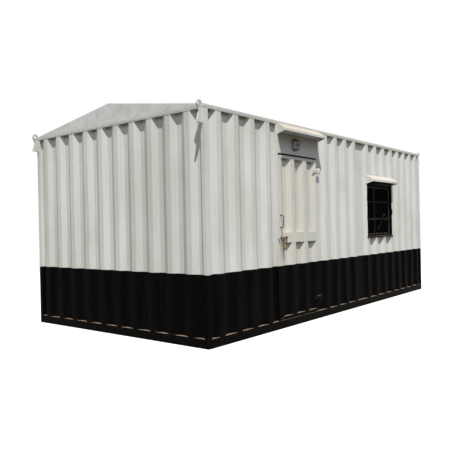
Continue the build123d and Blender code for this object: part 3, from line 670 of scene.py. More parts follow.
def folded_sheet(node, along_axis, outward):
    """A rounded profile in plan carried up the wall, waved by sine products that fade at its edges."""
    sheet = settings()[1]
    low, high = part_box(node)
    profile = rounded_profile(node_corners(node, along_axis, outward), sheet.bend_radius)
    tangent = unit(np.gradient(profile, axis=0))
    inward = np.stack([tangent[:, 1], -tangent[:, 0]], -1)
    inward *= np.where(inward[:, 1:] > 0, -1, 1)
    along, out = profile[:, 0], profile[:, 1]
    levels = np.linspace(low.z, high.z, max(int((high.z - low.z) / 0.09), 4))

    chance = np.random.default_rng(RANDOM_SEED + len(profile))
    waves = chance.uniform((9, 2.0, 0, 0), (34, 7.0, 2 * pi, 2 * pi), (9, 4))
    sines = [np.outer(np.sin(w[1] * levels + w[3]), np.sin(w[0] * along + w[2])) for w in waves]
    dent = sum(sines) / len(waves)
    fade_up = np.clip(np.minimum(levels - low.z, high.z - levels) / 0.12, 0, 1)[:, None]
    fade_along = np.clip(np.minimum(along - along[0], along[-1] - along) / 0.06, 0, 1)[None, :]
    dent = sheet.dent_depth * np.clip(dent + 0.35, 0, 1) * fade_up * fade_along

    outer_out = out[None, :] - dent
    inner_along = along[None, :] + inward[None, :, 0] * sheet.thickness + 0 * levels[:, None]
    inner_out = outer_out + inward[None, :, 1] * sheet.thickness
    ring = np.zeros((len(levels), 2 * len(profile), 3))
    ring[:, :, along_axis] = np.hstack([along[None, :] + 0 * levels[:, None], inner_along[:, ::-1]])
    ring[:, :, 1 - along_axis] = outward * np.hstack([outer_out, inner_out[:, ::-1]])
    ring[:, :, 2] = levels[:, None]

    around = ring.shape[1]
    index = np.arange(len(levels) * around).reshape(len(levels), around)
    sides = np.stack([index[:-1], np.roll(index[:-1], -1, 1), np.roll(index[1:], -1, 1), index[1:]], -1)
    step = np.arange(len(profile) - 1)
    strip = np.stack([step, around - 1 - step, around - 2 - step, step + 1], -1)
    top = strip[:, ::-1] + (len(levels) - 1) * around
    piece = piece_from(node + "_folded", shell(ring, np.vstack([sides.reshape(-1, 4), strip, top])))

    # How deep each point lies in its recess; the enamel uses it to paint shade under the rail.
    recess = (out.max() - out) / max(np.ptp(out), MILLIMETRE)
    recess = np.concatenate([recess, recess[::-1]])[None, :] + 0 * levels[:, None]
    for name, values in (("recess", recess), ("below_top", high.z - ring[:, :, 2])):
        attribute = piece.data.attributes.new(name, "FLOAT", "POINT")
        attribute.data.foreach_set("value", values.reshape(-1).astype(np.float32))
    return piece


def material_named(name):
    """A material that an operator before this one has made."""
    material = bpy.data.materials.get(name)
    if material is None:
        raise RuntimeError(f"the material {name} has to be made first")
    return material


def dress(piece, material, body=None):
    """Give a piece its one material, and a new piece its body and slot."""
    piece.data.materials.clear()
    piece.data.materials.append(material_named(material))
    if body:
        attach(piece, body)
    return piece


def fit(name, surface, finish, body=CABIN, smooth=50.0):
    """Make a new piece of a surface, and give it its finish, body and slot."""
    return dress(piece_from(name, surface, smooth), finish, body)


def soften_edges(piece, width):
    """Weld a CAD node's loose triangles and round its edges, by modifiers only."""
    weld = piece.modifiers.new("merge", "WELD")
    weld.merge_threshold = 0.00005
    bevel = piece.modifiers.new("round_edges", "BEVEL")
    bevel.width = width
    bevel.segments = 2
    bevel.limit_method = "ANGLE"
    bevel.angle_limit = radians(38)
    bevel.use_clamp_overlap = True


class SITECABIN_OT_mix_finishes(bpy.types.Operator):
    """Mix every paint, metal, board and glass of the cabin."""

    bl_idname = "site_cabin.mix_finishes"
    bl_label = "Mix finishes"

    def execute(self, context):
        paint = settings()[0]
        nodes = ("door_hood", "window_frame", "door_pull", "door_latch")
        hood, window, pull, latch = (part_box(node) for node in nodes)
        # Painted shade: the wall under the door hood is darkened in the stain colour, most just below the
        # hood, fading over 0.24 m.
        under_hood = (hood[0].y + 0.01, hood[1].y - 0.01, hood[0].z + 0.030, 0.24, 0.80, paint.stain_and_shade)
        # Painted shade: the wall just below the window sill is darkened in the stain colour.
        under_window = (window[0].y, window[1].y, window[0].z, 0.11, 0.55, paint.stain_and_shade)
        under_latch = (latch[0].y - 0.02, latch[1].y + 0.01, latch[0].z + 0.06, 0.30, 0.85, paint.rust)
        under_pull = (pull[0].y - 0.03, pull[1].y + 0.03, pull[0].z + 0.02, 0.20, 0.45, paint.grime)
        enamels = (
            ("brushed_enamel_on_steel", paint.enamel, (under_hood, under_window), 1.0, 0.52, 0.2),
            # The transom's enamel keeps the hood's painted shade as an even gradient, hardly broken by
            # streaks.
            ("sheltered_enamel_on_steel", paint.enamel, (under_hood,), 0.4, 0.30, 0.9),
            ("creamed_door_enamel", paint.door_enamel, (under_latch, under_pull), 1.4, 0.52, 0.2),
        )
        for name, *choices in enamels:
            mixed(name, ENAMEL_GRAINS, weathered_enamel, *choices)
        others = (
            ("chalked_roof_paint", CHALK_GRAINS, chalked_paint, paint.roof, paint.roof_aged, 0.30),
            ("chalked_gable_paint", CHALK_GRAINS, chalked_paint, paint.gable, paint.gable_aged, 0.0),
            ("bitumen_black_enamel", BLACK_GRAINS, bitumen_black, 0.85, 0.50),
            ("black_window_enamel", BLACK_GRAINS, bitumen_black, 0.45, 0.42),
            ("weathered_mild_steel", STEEL_GRAINS, weathered_steel),
            ("worn_handle_enamel", HANDLE_GRAINS, worn_handle_enamel),
            ("dusty_float_glass", GLASS_GRAINS, dusty_window_glass),
            ("pressed_lamp_glass", LAMP_GLASS_GRAINS, pressed_lamp_glass),
            ("zinc_plated_screws", ZINC_GRAINS, small_metal, "A9ABAC", "6B6A66", 0.34),
            ("tarnished_brass", BRASS_GRAINS, small_metal, "A98B4A", "5F4A24", 0.30),
            ("film_faced_plywood", PLYWOOD_GRAINS, plywood_deck),
            ("warm_lining_laminate", LINING_GRAINS, lining_laminate, "CFC8B8", "BDB5A2"),
            ("white_ceiling_laminate", LINING_GRAINS, lining_laminate, "D2D2CE", "C4C3BC"),
            ("dried_glazing_putty", PUTTY_GRAINS, glazing_putty),
        )
        for name, grains, recipe, *choices in others:
            mixed(name, grains, recipe, *choices)
        return {"FINISHED"}


class SITECABIN_OT_paint_steelwork(bpy.types.Operator):
    """Paint the posts, rails, jambs, hoods and boards that the frame brings, and round their edges."""

    bl_idname = "site_cabin.paint_steelwork"
    bl_label = "Paint steelwork"

    FINISHES = (
        ("brushed_enamel_on_steel", 0.002, ("corner_posts", "door_jambs", "door_hood", "window_hood")),
        ("brushed_enamel_on_steel", 0.002, ("top_rail_front", "top_rail_back")),
        ("brushed_enamel_on_steel", 0.002, ("top_rail_far_side", "top_rail_door_side")),
        ("brushed_enamel_on_steel", 0.0015, ("front_lifting_lugs", "back_lifting_lugs", "jamb_fittings")),
        ("sheltered_enamel_on_steel", 0.001, ("transom_panel",)),
        ("creamed_door_enamel", 0.002, ("door_leaf_frame",)),
        ("creamed_door_enamel", 0.001, ("door_hinge_straps",)),
        ("chalked_gable_paint", 0.001, ("gable_front", "gable_back", "ridge_beam")),
        ("bitumen_black_enamel", 0.003, ("base_rail_front", "base_rail_back", "base_rail_far_side")),
        ("bitumen_black_enamel", 0.003, ("base_rail_door_side", "floor_joists")),
        ("black_window_enamel", 0.0015, ("window_sash", "window_frame")),
        ("dusty_float_glass", 0, ("window_glass",)),
        ("film_faced_plywood", 0, ("floor_deck",)),
        ("white_ceiling_laminate", 0, ("ceiling_board",)),
        ("warm_lining_laminate", 0, ("end_and_far_lining", "door_side_lining")),
    )

    def execute(self, context):
        for finish, edge, nodes in self.FINISHES:
            for name in nodes:
                piece = dress(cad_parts[name], finish)
                if edge:
                    soften_edges(piece, edge)
        return {"FINISHED"}


class SITECABIN_OT_fold_wall_sheets(bpy.types.Operator):
    """Fold the wall sheets and the door's panels from steel sheet with rounded bends."""

    bl_idname = "site_cabin.fold_wall_sheets"
    bl_label = "Fold wall sheets"

    ENDS = (("front_cladding", -1), ("back_cladding", 1))
    DOOR_SIDE = (
        "door_side_front_bay",
        "door_side_middle_bay",
        "below_window_bay",
        "above_window_bay",
        "door_side_rear_bay",
    )
    PANELS = ("door_upper_panel", "door_lower_panel")

    def execute(self, context):
        sheets = [(node, 0, side, CABIN, "brushed_enamel_on_steel") for node, side in self.ENDS]
        sheets.append(("far_side_cladding", 1, -1, CABIN, "brushed_enamel_on_steel"))
        sheets += [(node, 1, 1, CABIN, "brushed_enamel_on_steel") for node in self.DOOR_SIDE]
        sheets += [(node, 1, 1, DOOR, "creamed_door_enamel") for node in self.PANELS]
        for node, along_axis, outward, body, finish in sheets:
            piece = folded_sheet(node, along_axis, outward)
            dress(piece, finish, body)
            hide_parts(node)
        return {"FINISHED"}
ROOF_PLATE = 0.003
ROOF_SHEETS = 5


def roof_slope(node, side):
    """A slope as a height over a grid: its plane, a little low, less shallow waves, raised at each lap."""
    low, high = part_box(node)
    beside_cap = (0.112, 0.122)
    reach = np.unique(np.append(np.linspace(0, high.x - low.x, 28), beside_cap))
    fall = (high.z - low.z - ROOF_PLATE) / (high.x - low.x)
    laps = np.linspace(low.y, high.y, ROOF_SHEETS + 1)[1:-1]
    edges = (laps[:, None] + (-0.018, -0.012, 0.012, 0.018)).reshape(-1)
    along = np.unique(np.concatenate([np.linspace(low.y, high.y, 97), edges]))
    to_lap = np.abs(along[:, None] - laps).min(1)
    lap = np.outer(np.clip((0.018 - to_lap) / 0.006, 0, 1), np.interp(reach, beside_cap, (0, 1)))
    wave = np.outer(np.sin(5.1 * along + 1.3), np.sin(3.7 * reach + 0.4))
    wave += np.outer(np.sin(2.3 * along), np.sin(6.1 * reach))
    fade = np.clip(np.minimum(reach, reach[-1] - reach) / 0.15, 0, 1)
    plane = high.z - fall * reach
    top = plane - (0.0015 + 0.0006 * np.clip(wave, 0, 1) * fade) * (1 - lap)
    bottom = np.broadcast_to(plane - ROOF_PLATE, top.shape)
    ring = np.zeros((len(along), 2 * len(reach), 3))
    ring[:, :, 0] = side * np.concatenate([reach, reach[::-1]])
    ring[:, :, 1] = along[:, None]
    ring[:, :, 2] = np.hstack([top, bottom[:, ::-1]])
    return carried(ring)


def ridge_cap():
    """A folded strip over the ridge: both planes, joined at the crest by a parabola, carried along it."""
    low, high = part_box("roof_door_slope")
    fall = (high.z - low.z - ROOF_PLATE) / (high.x - low.x)
    crest, wing = 0.014, 0.110
    flat = np.linspace(crest, wing, 4)
    across = np.concatenate([-flat[::-1], np.linspace(-crest, crest, 9)[1:-1], flat])
    near = np.abs(across)
    top = high.z - fall * np.where(near < crest, (near**2 / crest + crest) / 2, near)
    section = np.vstack([np.stack([across, top], -1), np.stack([across, top - 0.0016], -1)[::-1]])
    along = np.array((low.y + 0.001, low.y + 0.5, 0.0, high.y - 0.5, high.y - 0.001))
    ring = np.zeros((len(along), len(section), 3))
    ring[:, :, 0] = section[:, 0]
    ring[:, :, 1] = along[:, None]
    ring[:, :, 2] = section[:, 1]
    return carried(ring)


class SITECABIN_OT_lay_roof(bpy.types.Operator):
    """Lay the roof's sheets with their laps, the ridge cap and the screws."""

    bl_idname = "site_cabin.lay_roof"
    bl_label = "Lay roof"

    def execute(self, context):
        for node, side in (("roof_far_slope", -1), ("roof_door_slope", 1)):
            slope = roof_slope(node, side)
            piece = fit(node + "_lapped", slope, "chalked_roof_paint", smooth=35)
            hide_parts(node)
        fit("ridge_cap", ridge_cap(), "chalked_roof_paint", smooth=12)

        low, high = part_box("roof_door_slope")
        fall = (high.z - low.z - ROOF_PLATE) / (high.x - low.x)
        laps = np.linspace(low.y, high.y, ROOF_SHEETS + 1)
        laps[[0, -1]] += (0.03, -0.03)
        across, along = (grid.reshape(-1) for grid in np.meshgrid(np.linspace(0.16, 1.46, 7), laps))
        for side, name in ((-1, "roof_screws_far_side"), (1, "roof_screws_door_side")):
            places = np.stack([side * across, along, high.z - fall * across], -1)
            screws = dome_heads(places, (side * fall, 0, 1), 0.007, 0.0035)
            fit(name, screws, "zinc_plated_screws", smooth=35)
        return {"FINISHED"}


def across_ribs(node, along_axis, outward, face, height):
    """Ends of a short bead across every rib of a folded sheet at one height."""
    corners = node_corners(node, along_axis, outward)
    flat = corners[:-1, 1] + corners[1:, 1] > 2 * corners[:, 1].max() - 0.001
    runs = []
    for start, end in zip(corners[:-1][flat, 0], corners[1:][flat, 0]):
        if end - start > 0.03:
            ends = np.zeros((2, 3))
            ends[:, along_axis] = start + 0.012, end - 0.012
            ends[:, 1 - along_axis] = face
            ends[:, 2] = height
            runs.append(ends)
    return runs


def uprights(along_axis, places, face, low, high):
    """Ends of upright beads on one face of the cabin, one at each place along it."""
    runs = np.zeros((len(places), 2, 3))
    runs[:, :, along_axis] = np.array(places)[:, None]
    runs[:, :, 1 - along_axis] = face
    runs[:, :, 2] = low, high
    return list(runs)


class SITECABIN_OT_run_welds(bpy.types.Operator):
    """Run the weld beads that hold sheets, rails, lugs, hoods and the window's surround together."""

    bl_idname = "site_cabin.run_welds"
    bl_label = "Run welds"

    def execute(self, context):
        size = settings()[1].weld_size
        for name, runs, share in (
            ("end_wall_welds", self.end_runs(), 0.6),
            ("door_side_welds", self.side_runs(), 0.6),
            ("lug_welds", self.lug_runs(), 0.8),
            ("hood_and_window_welds", self.hood_runs(), 0.8),
        ):
            fit(name, weld_beads(runs, share * size), "brushed_enamel_on_steel", smooth=60)
        beads = weld_beads(self.leaf_runs(), 0.45 * size)
        fit("door_leaf_welds", beads, "creamed_door_enamel", DOOR, 60)
        return {"FINISHED"}

    def end_runs(self):
        """Across the ribs' heads, and over the posts' joints with the rails."""
        low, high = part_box("front_cladding")
        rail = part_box("top_rail_front")
        posts = (rail[0].x, rail[1].x)
        runs = []
        for node, outward in (("front_cladding", -1), ("back_cladding", 1)):
            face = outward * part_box("corner_posts")[1].y
            runs += across_ribs(node, 0, outward, face, high.z)
            runs += uprights(0, posts, face, rail[0].z + 0.004, rail[1].z - 0.004)
            runs += uprights(0, posts, face, 0.006, low.z - 0.004)
        return runs

    def side_runs(self):
        """The same along the side with the door, between posts, jambs and sheets."""
        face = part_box("corner_posts")[1].x
        runs = []
        for node in SITECABIN_OT_fold_wall_sheets.DOOR_SIDE:
            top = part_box(node)[1].z
            if top > 2:
                runs += across_ribs(node, 1, 1, face, top)
        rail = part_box("top_rail_door_side")
        posts = (rail[0].y, rail[1].y)
        runs += uprights(1, posts, face, rail[0].z + 0.004, rail[1].z - 0.004)
        runs += uprights(1, posts, face, 0.006, 0.094)
        low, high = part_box("jamb_fittings")
        for bottom in (low.z, high.z - HINGE_HEIGHT):
            runs += uprights(1, (high.y,), face, bottom, bottom + HINGE_HEIGHT)
        return runs

    def lug_runs(self):
        """Down both sides of each lug's foot."""
        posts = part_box("corner_posts")[1]
        runs = []
        for node, end in (("front_lifting_lugs", -1), ("back_lifting_lugs", 1)):
            low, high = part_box(node)
            edges = (low.x, low.x + 0.016, high.x - 0.016, high.x)
            runs += uprights(0, edges, end * posts.y, low.z + 0.002, posts.z - 0.006)
        return runs

    def hood_runs(self):
        """Round each hood's back edge, and up both sides of the window's surround."""
        runs = []
        for node in ("door_hood", "window_hood"):
            low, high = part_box(node)
            top = high.z - 0.002
            runs += uprights(1, (low.y, high.y), low.x, low.z + 0.002, top)
            runs.append(((low.x, low.y, top), (low.x, high.y, top)))
        low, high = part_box("window_frame")
        return runs + uprights(1, (low.y, high.y), high.x, low.z, high.z)

    def leaf_runs(self):
        """Stitches down the sides of both panels, and the mitres of the leaf's frame."""
        nodes = ("door_leaf_frame", "door_upper_panel", "door_lower_panel")
        outer, upper, lower = (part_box(node) for node in nodes)
        face = outer[1].x
        runs = []
        for low, high in (upper, lower):
            starts = np.arange(low.z + 0.03, high.z - 0.06, 0.16)
            for y in (low.y, high.y):
                runs += [((face, y, start), (face, y, start + 0.04)) for start in starts]
        for side in (0, 1):
            y, inner_y = outer[side].y, upper[side].y
            runs.append(((face, y, outer[1].z), (face, inner_y, upper[1].z)))
            runs.append(((face, y, outer[0].z), (face, inner_y, lower[0].z)))
        return runs


class SITECABIN_OT_fit_lamp(bpy.types.Operator):
    """Fit the bulkhead lamp over the door: housing, ribbed glass, guard of bent bars, and its screws."""

    bl_idname = "site_cabin.fit_lamp"
    bl_label = "Fit lamp"

    # Depth and radius in millimetres: a flat base, a rounded rim, and a well for the glass.
    BASE = ((0, 77.5), (1.5, 79.5), (13, 79.5))
    RIM = ((17, 78), (19.5, 74.5), (20, 68))
    WELL = ((18.5, 65.5), (13.5, 64), (12.5, 30))
    SCREW_RING = 0.0712
    GUARD_RING = 0.0705
    GUARD_PITCH = 0.036
    GUARD_BAR = 0.0030

    def execute(self, context):
        low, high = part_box("door_lamp")
        middle = np.array((low.x, (low.y + high.y) / 2, (low.z + high.z) / 2))
        depth = high.x - low.x
        body = turned(middle, OUT, np.array(self.BASE + self.RIM + self.WELL) * MILLIMETRE, 56)
        screws = dome_heads(middle + self.ring(0.0185, self.SCREW_RING, 4, 0.5), OUT, 0.0045, 0.0025)
        housing = fit("lamp_housing", body, "sheltered_enamel_on_steel")
        glass = self.ribbed_glass(middle, depth - 0.012)
        fit("lamp_ribbed_glass", glass, "pressed_lamp_glass", smooth=80)
        fit("lamp_guard", self.guard(middle, depth), "bitumen_black_enamel")
        fit("lamp_screws", screws, "zinc_plated_screws", smooth=35)
        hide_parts("door_lamp")
        return {"FINISHED"}

    def ring(self, reach, radius, count, shift=0.0):
        """Points on a circle that faces out of the wall."""
        turn = 2 * pi * (np.arange(count) + shift) / count
        return np.stack([np.full(count, reach), radius * np.cos(turn), radius * np.sin(turn)], -1)

    def ribbed_glass(self, middle, depth):
        """Dome of depth and angle: an ellipse's radius, fluted by a cosine that fades to the crown."""
        level = np.linspace(0, 0.985, 15)
        radius = 0.062 * np.sqrt(1 - level**2.6)
        angle = 2 * pi * np.arange(120) / 120
        reach = radius[:, None] * (1 + 0.022 * np.outer(np.sqrt(1 - level), np.cos(30 * angle)))
        height = np.broadcast_to((0.012 + (depth - 0.012) * level)[:, None], reach.shape)
        return carried(middle + np.stack([height, reach * np.cos(angle), reach * np.sin(angle)], -1))

    def guard(self, middle, depth):
        """A ring on the housing, three upright hoops bent over the glass, and one bar across them."""
        bar = round_section(self.GUARD_BAR, 8)
        spokes = self.ring(0, 1, 48)
        circle = middle + self.ring(0.0215, self.GUARD_RING, 48)
        hoop = circle[:, None] + bar[None, :, :1] * OUT + bar[None, :, 1:] * spokes[:, None]
        surfaces = [carried(hoop, loop=True)]
        front = depth - self.GUARD_BAR
        for side in (-self.GUARD_PITCH, 0, self.GUARD_PITCH):
            reach = np.sqrt(self.GUARD_RING**2 - side**2)
            bent = reach - 0.004
            corners = np.array([(0.020, 0, reach), (front, 0, bent), (front, 0, -bent), (0.020, 0, -reach)])
            path = rounded_path(middle + (0, side, 0) + corners, 0.016, 7)
            surfaces.append(carried(along_path(path, bar, ALONG)))
        ends = np.array([(front - 0.0005, y, 0) for y in (-0.043, 0, 0.043)])
        surfaces.append(carried(along_path(middle + ends, bar, UP)))
        return joined(surfaces)


class SITECABIN_OT_fit_latch(bpy.types.Operator):
    """Fit the sliding bolt with its guides and hasp, the padlock, and the pull handle."""

    bl_idname = "site_cabin.fit_latch"
    bl_label = "Fit latch and pull"

    BOLT_X = 1.536
    BOLT_Z = 1.105
    GUIDES = (-1.680, -1.560)
    HASP_Y = -1.620
    STAPLE_Z = 1.052
    LOCK_Z = (0.987, 1.027)

    def execute(self, context):
        latch = fit("sliding_bolt", self.bolt_set(), "weathered_mild_steel", DOOR, 45)
        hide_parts("door_latch")
        fit("padlock_body", self.padlock_body(), "tarnished_brass", DOOR, 45)
        fit("padlock_shackle", self.shackle(), "zinc_plated_screws", DOOR, 60)
        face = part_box("door_leaf_frame")[1].x
        heads = [(face + 0.002, y, self.BOLT_Z + step) for y in self.GUIDES for step in (-0.0165, 0.0165)]
        rivets = dome_heads(heads, OUT, 0.0035, 0.002)
        fit("bolt_rivets", rivets, "weathered_mild_steel", DOOR, 35)
        pull = fit("door_pull_bar", self.pull(), "worn_handle_enamel", DOOR, 60)
        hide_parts("door_pull")
        return {"FINISHED"}

    def bolt_set(self):
        """A round bolt, two saddles bent over it, its hasp, and the staple that the padlock locks."""
        low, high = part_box("door_latch")
        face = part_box("door_leaf_frame")[1].x
        length = high.y - low.y
        end = ((0, 0.0052), (0.0015, 0.0066), (0.004, 0.007))
        rod = [*end, *((length - level, radius) for level, radius in end[::-1])]
        surfaces = [turned((self.BOLT_X, low.y, self.BOLT_Z), ALONG, rod, 20)]
        foot, head = face + 0.0012, high.x - 0.0015
        saddle = [(foot, -0.0198), (foot, -0.0098), (head, -0.0092)]
        saddle += [(x, -step) for x, step in saddle[::-1]]
        for place in self.GUIDES:
            path = rounded_path([(x, place, self.BOLT_Z + step) for x, step in saddle], 0.0035, 5)
            surfaces.append(carried(along_path(path, bar_section(0.020, 0.0024, 0.0008), ALONG)))
        hasp_low = (self.BOLT_X - 0.0025, self.HASP_Y - 0.013, 1.043)
        hasp_high = (self.BOLT_X + 0.0025, self.HASP_Y + 0.013, self.BOLT_Z)
        surfaces.append(soft_block(hasp_low, hasp_high, 0.0018))
        foot, head, half = face - 0.001, high.x - 0.003, 0.011
        bend = ((foot, -half), (head, -half), (head, half), (foot, half))
        staple = rounded_path([(x, self.HASP_Y + step, self.STAPLE_Z) for x, step in bend], 0.008, 6)
        surfaces.append(carried(along_path(staple, round_section(0.003, 10), UP)))
        return joined(surfaces)

    def padlock_body(self):
        """A pile of plates: a rounded rectangle carried up, drawn in a little between each two plates."""
        size, middle = np.array((0.018, 0.042)), np.array((self.BOLT_X, self.HASP_Y))
        bottom, top = self.LOCK_Z
        level = np.linspace(bottom, top, 41)
        groove = 0.0004 * (1 - np.cos(2 * pi * (level - bottom) / 0.004))
        ends = 0.0035 * np.clip(1 - np.minimum(level - bottom, top - level) / 0.003, 0, 1) ** 2
        share = 1 - 2 * (groove + ends)[:, None, None] / size
        flat = bar_section(size[0], size[1], 0.006, 5)[None] * share + middle
        height = np.broadcast_to(level[:, None, None], (*flat.shape[:2], 1))
        return carried(np.concatenate([flat, height], -1))

    def shackle(self):
        """A rod bent to a U, through the staple."""
        foot, head, half = 1.020, 1.0555, 0.0125
        bend = ((-half, foot), (-half, head), (half, head), (half, foot))
        path = rounded_path([(self.BOLT_X, self.HASP_Y + step, z) for step, z in bend], 0.0115, 9)
        return carried(along_path(path, round_section(0.0032, 12), OUT))

    def pull(self):
        """A round bar bent out from the door and back, thicker at its grip, on two turned flanges."""
        low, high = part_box("door_pull")
        middle, reach = (low.y + high.y) / 2, high.x - 0.006
        foot, head = low.z + 0.006, high.z - 0.006
        bend = ((low.x, foot), (reach, foot), (reach, head), (low.x, head))
        path = rounded_path([(x, middle, z) for x, z in bend], 0.022, 9)
        spread = (np.abs(path[:, 2] - (foot + head) / 2) / (head - foot) * 2)[:, None, None]
        section = round_section(1.0, 16)[None] * (0.0056 - 0.0008 * spread**2) * np.array((1.0, 1.06))
        flange = ((-0.0005, 0.0125), (0.0018, 0.0125), (0.0032, 0.0105), (0.0040, 0.0075), (0.0070, 0.0058))
        surfaces = [carried(along_path(path, section, ALONG))]
        surfaces += [turned((low.x, middle, z), OUT, flange, 24) for z in (foot, head)]
        return joined(surfaces)


class SITECABIN_OT_fit_hinges(bpy.types.Operator):
    """Fit the hinges' domed pin heads, plates and rivets, and the seal over the door."""

    bl_idname = "site_cabin.fit_hinges"
    bl_label = "Fit hinge details"

    PIVOT = (1.534, -0.786)

    def execute(self, context):
        low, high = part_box("jamb_fittings")
        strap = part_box("door_hinge_straps")[0]
        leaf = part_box("door_leaf_frame")[1]
        face = leaf.x - 0.001
        pivot = self.PIVOT[1]
        bottoms = (low.z, high.z - HINGE_HEIGHT)
        cap = ((-0.001, 0.0070), (0.0010, 0.0074), (0.0026, 0.0066), (0.0038, 0.0042), (0.0042, 0.0012))
        heads = [turned((*self.PIVOT, bottom + HINGE_HEIGHT), UP, cap, 20) for bottom in bottoms]
        heads += [turned((*self.PIVOT, bottom), -UP, cap, 20) for bottom in bottoms]
        fit("hinge_pin_heads", joined(heads), "brushed_enamel_on_steel")

        heights = [bottom + HINGE_HEIGHT / 2 for bottom in bottoms]
        places = [(strap.x + 0.004, strap.y + step, z) for z in heights for step in (0.014, 0.046, 0.078)]
        rivets = dome_heads(places, OUT, 0.0052, 0.0028, 14)
        fit("hinge_strap_rivets", rivets, "creamed_door_enamel", DOOR, 35)
        leaf_plate = (strap.y + 0.036, pivot - 0.015, 0.0052, 0.032, 0.0022)
        jamb_plate = (pivot + 0.016, high.y + 0.038, 0.0045, 0.038, 0.0018)
        for name, (start, end, thick, half, edge), finish, body in (
            ("hinge_leaf_plates", leaf_plate, "creamed_door_enamel", DOOR),
            ("hinge_jamb_plates", jamb_plate, "sheltered_enamel_on_steel", CABIN),
        ):
            top = leaf.x + thick
            plates = [soft_block((face, start, z - half), (top, end, z + half), edge) for z in heights]
            fit(name, joined(plates), finish, body)

        seal_low = (face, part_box("transom_panel")[0].y + 0.002, leaf.z + 0.005)
        seal = soft_block(seal_low, (leaf.x + 0.004, leaf.y + 0.002, leaf.z + 0.020), 0.0018)
        fit("door_head_seal", seal, "black_window_enamel")
        return {"FINISHED"}


class SITECABIN_OT_fit_window(bpy.types.Operator):
    """Fit the window's bars, the stay behind them, the putty, the hinges and the catches of its sash."""

    bl_idname = "site_cabin.fit_window"
    bl_label = "Fit window"

    BARS = 8
    RAILS = 2
    MULLION_Y = 1.125
    SASH_BAR = 0.038
    HINGES = (1.340, 1.640)
    CATCHES = ((1.440, 0.045), (1.030, 0.022))
    STAY = ((1.4935, 1.230, 1.160), (1.4945, 1.370, 1.285), (1.4935, 1.510, 1.410))

    def execute(self, context):
        bars = fit("window_bars", self.bars(), "black_window_enamel")
        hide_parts("window_grille")
        fit("window_putty", self.putty(), "dried_glazing_putty", smooth=60)
        fit("window_ironmongery", self.ironmongery(), "black_window_enamel")
        return {"FINISHED"}

    def bars(self):
        """Round bars between two flats, with a collar of weld where they cross, and a stay set aslant."""
        low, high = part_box("window_grille")
        middle_x = (low.x + high.x) / 2
        pitch = (high.y - low.y) / (self.BARS + 1)
        places = low.y + pitch * np.arange(1, self.BARS + 1)
        rail_heights = low.z + (high.z - low.z) * np.arange(1, self.RAILS + 1) / (self.RAILS + 1)
        height = np.linspace(low.z - 0.001, high.z + 0.001, 14)
        half_turn = np.linspace(0, pi, len(height))
        surfaces = []
        for number, place in enumerate(places):
            sway = 0.0012 * np.sin(2.0 * number + half_turn) * np.sin(half_turn)
            path = np.stack([np.full(len(height), middle_x), place + sway, height], -1)
            surfaces.append(carried(along_path(path, round_section(0.0058, 12), OUT)))
        collar = ((-0.003, 0.0068), (-0.0014, 0.0086), (0.0014, 0.0086), (0.003, 0.0068))
        for rail in rail_heights:
            ends = ((middle_x, low.y - 0.001, rail), (middle_x, high.y + 0.001, rail))
            surfaces.append(carried(along_path(ends, bar_section(0.0056, 0.024, 0.0014), OUT)))
            for edge in (rail - 0.012, rail + 0.012):
                surfaces += [turned((middle_x, place, edge), UP, collar, 12) for place in places]
        surfaces.append(carried(along_path(self.STAY, bar_section(0.003, 0.012, 0.0010), OUT)))
        return joined(surfaces)

    def putty(self):
        """A three-sided fillet run round both lights, outside the glass."""
        low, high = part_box("window_sash")
        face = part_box("window_glass")[1].x
        half_mullion = self.SASH_BAR / 2
        bottom, top = low.z + self.SASH_BAR, high.z - self.SASH_BAR
        surfaces = []
        for left, right in (
            (low.y + self.SASH_BAR, self.MULLION_Y - half_mullion),
            (self.MULLION_Y + half_mullion, high.y - self.SASH_BAR),
        ):
            centre = np.array((0, (left + right) / 2, (bottom + top) / 2))
            plan = ((left, bottom), (right, bottom), (right, top), (left, top))
            corners = np.array([(face, *corner) for corner in plan])
            toward = np.sign(centre - corners) * (0, 1, 1)
            edge = corners - 0.001 * toward
            rings = np.stack([edge, corners + 0.009 * toward, edge + 0.0075 * OUT], 1)
            surfaces.append(carried(rings, loop=True))
        return joined(surfaces)

    def ironmongery(self):
        """Butt hinges, catches, a black strip over the head that paints the shade under the window hood, a
        tray and a nosing, set on the frame.
        """
        low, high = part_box("window_frame")
        barrel = [(0, 0.0052), (0.001, 0.0064)]
        for joint in (0.026, 0.054):
            groove = ((0, 0.0064), (0.0005, 0.0056), (0.0015, 0.0056), (0.002, 0.0064))
            barrel += [(joint + step, radius) for step, radius in groove]
        barrel += [(0.080, 0.0064), (0.081, 0.0052)]
        pin = ((0, 0.0040), (0.001, 0.0046), (0.014, 0.0046), (0.015, 0.0036))
        surfaces = []
        for height in self.HINGES:
            surfaces.append(turned((high.x + 0.004, low.y + 0.003, height - 0.040), UP, barrel, 16))
            leaf_low = (high.x - 0.020, low.y + 0.005, height - 0.038)
            surfaces.append(soft_block(leaf_low, (high.x + 0.004, low.y + 0.0085, height + 0.038), 0.0012))
        for height, half in self.CATCHES:
            ear_low = (high.x - 0.012, high.y - 0.0090, height - half)
            surfaces.append(soft_block(ear_low, (high.x + 0.012, high.y - 0.0052, height + half), 0.0016))
            surfaces.append(turned((high.x + 0.007, high.y - 0.020, height), ALONG, pin, 14))
        # Painted shade: a black strip over the window's head darkens the wall under the hood.
        shade_strip_low = (high.x - 0.001, low.y - 0.003, high.z - 0.006)
        surfaces.append(soft_block(shade_strip_low, (high.x + 0.003, high.y + 0.003, high.z + 0.066), 0.0012))
        tray_low = (low.x + 0.024, low.y + 0.0055, low.z + 0.0045)
        surfaces.append(soft_block(tray_low, (high.x + 0.002, high.y - 0.0055, low.z + 0.0115), 0.0012))
        nosing_low = (high.x - 0.001, low.y - 0.006, low.z - 0.010)
        surfaces.append(soft_block(nosing_low, (high.x + 0.006, high.y + 0.006, low.z + 0.0118), 0.0022))
        return joined(surfaces)


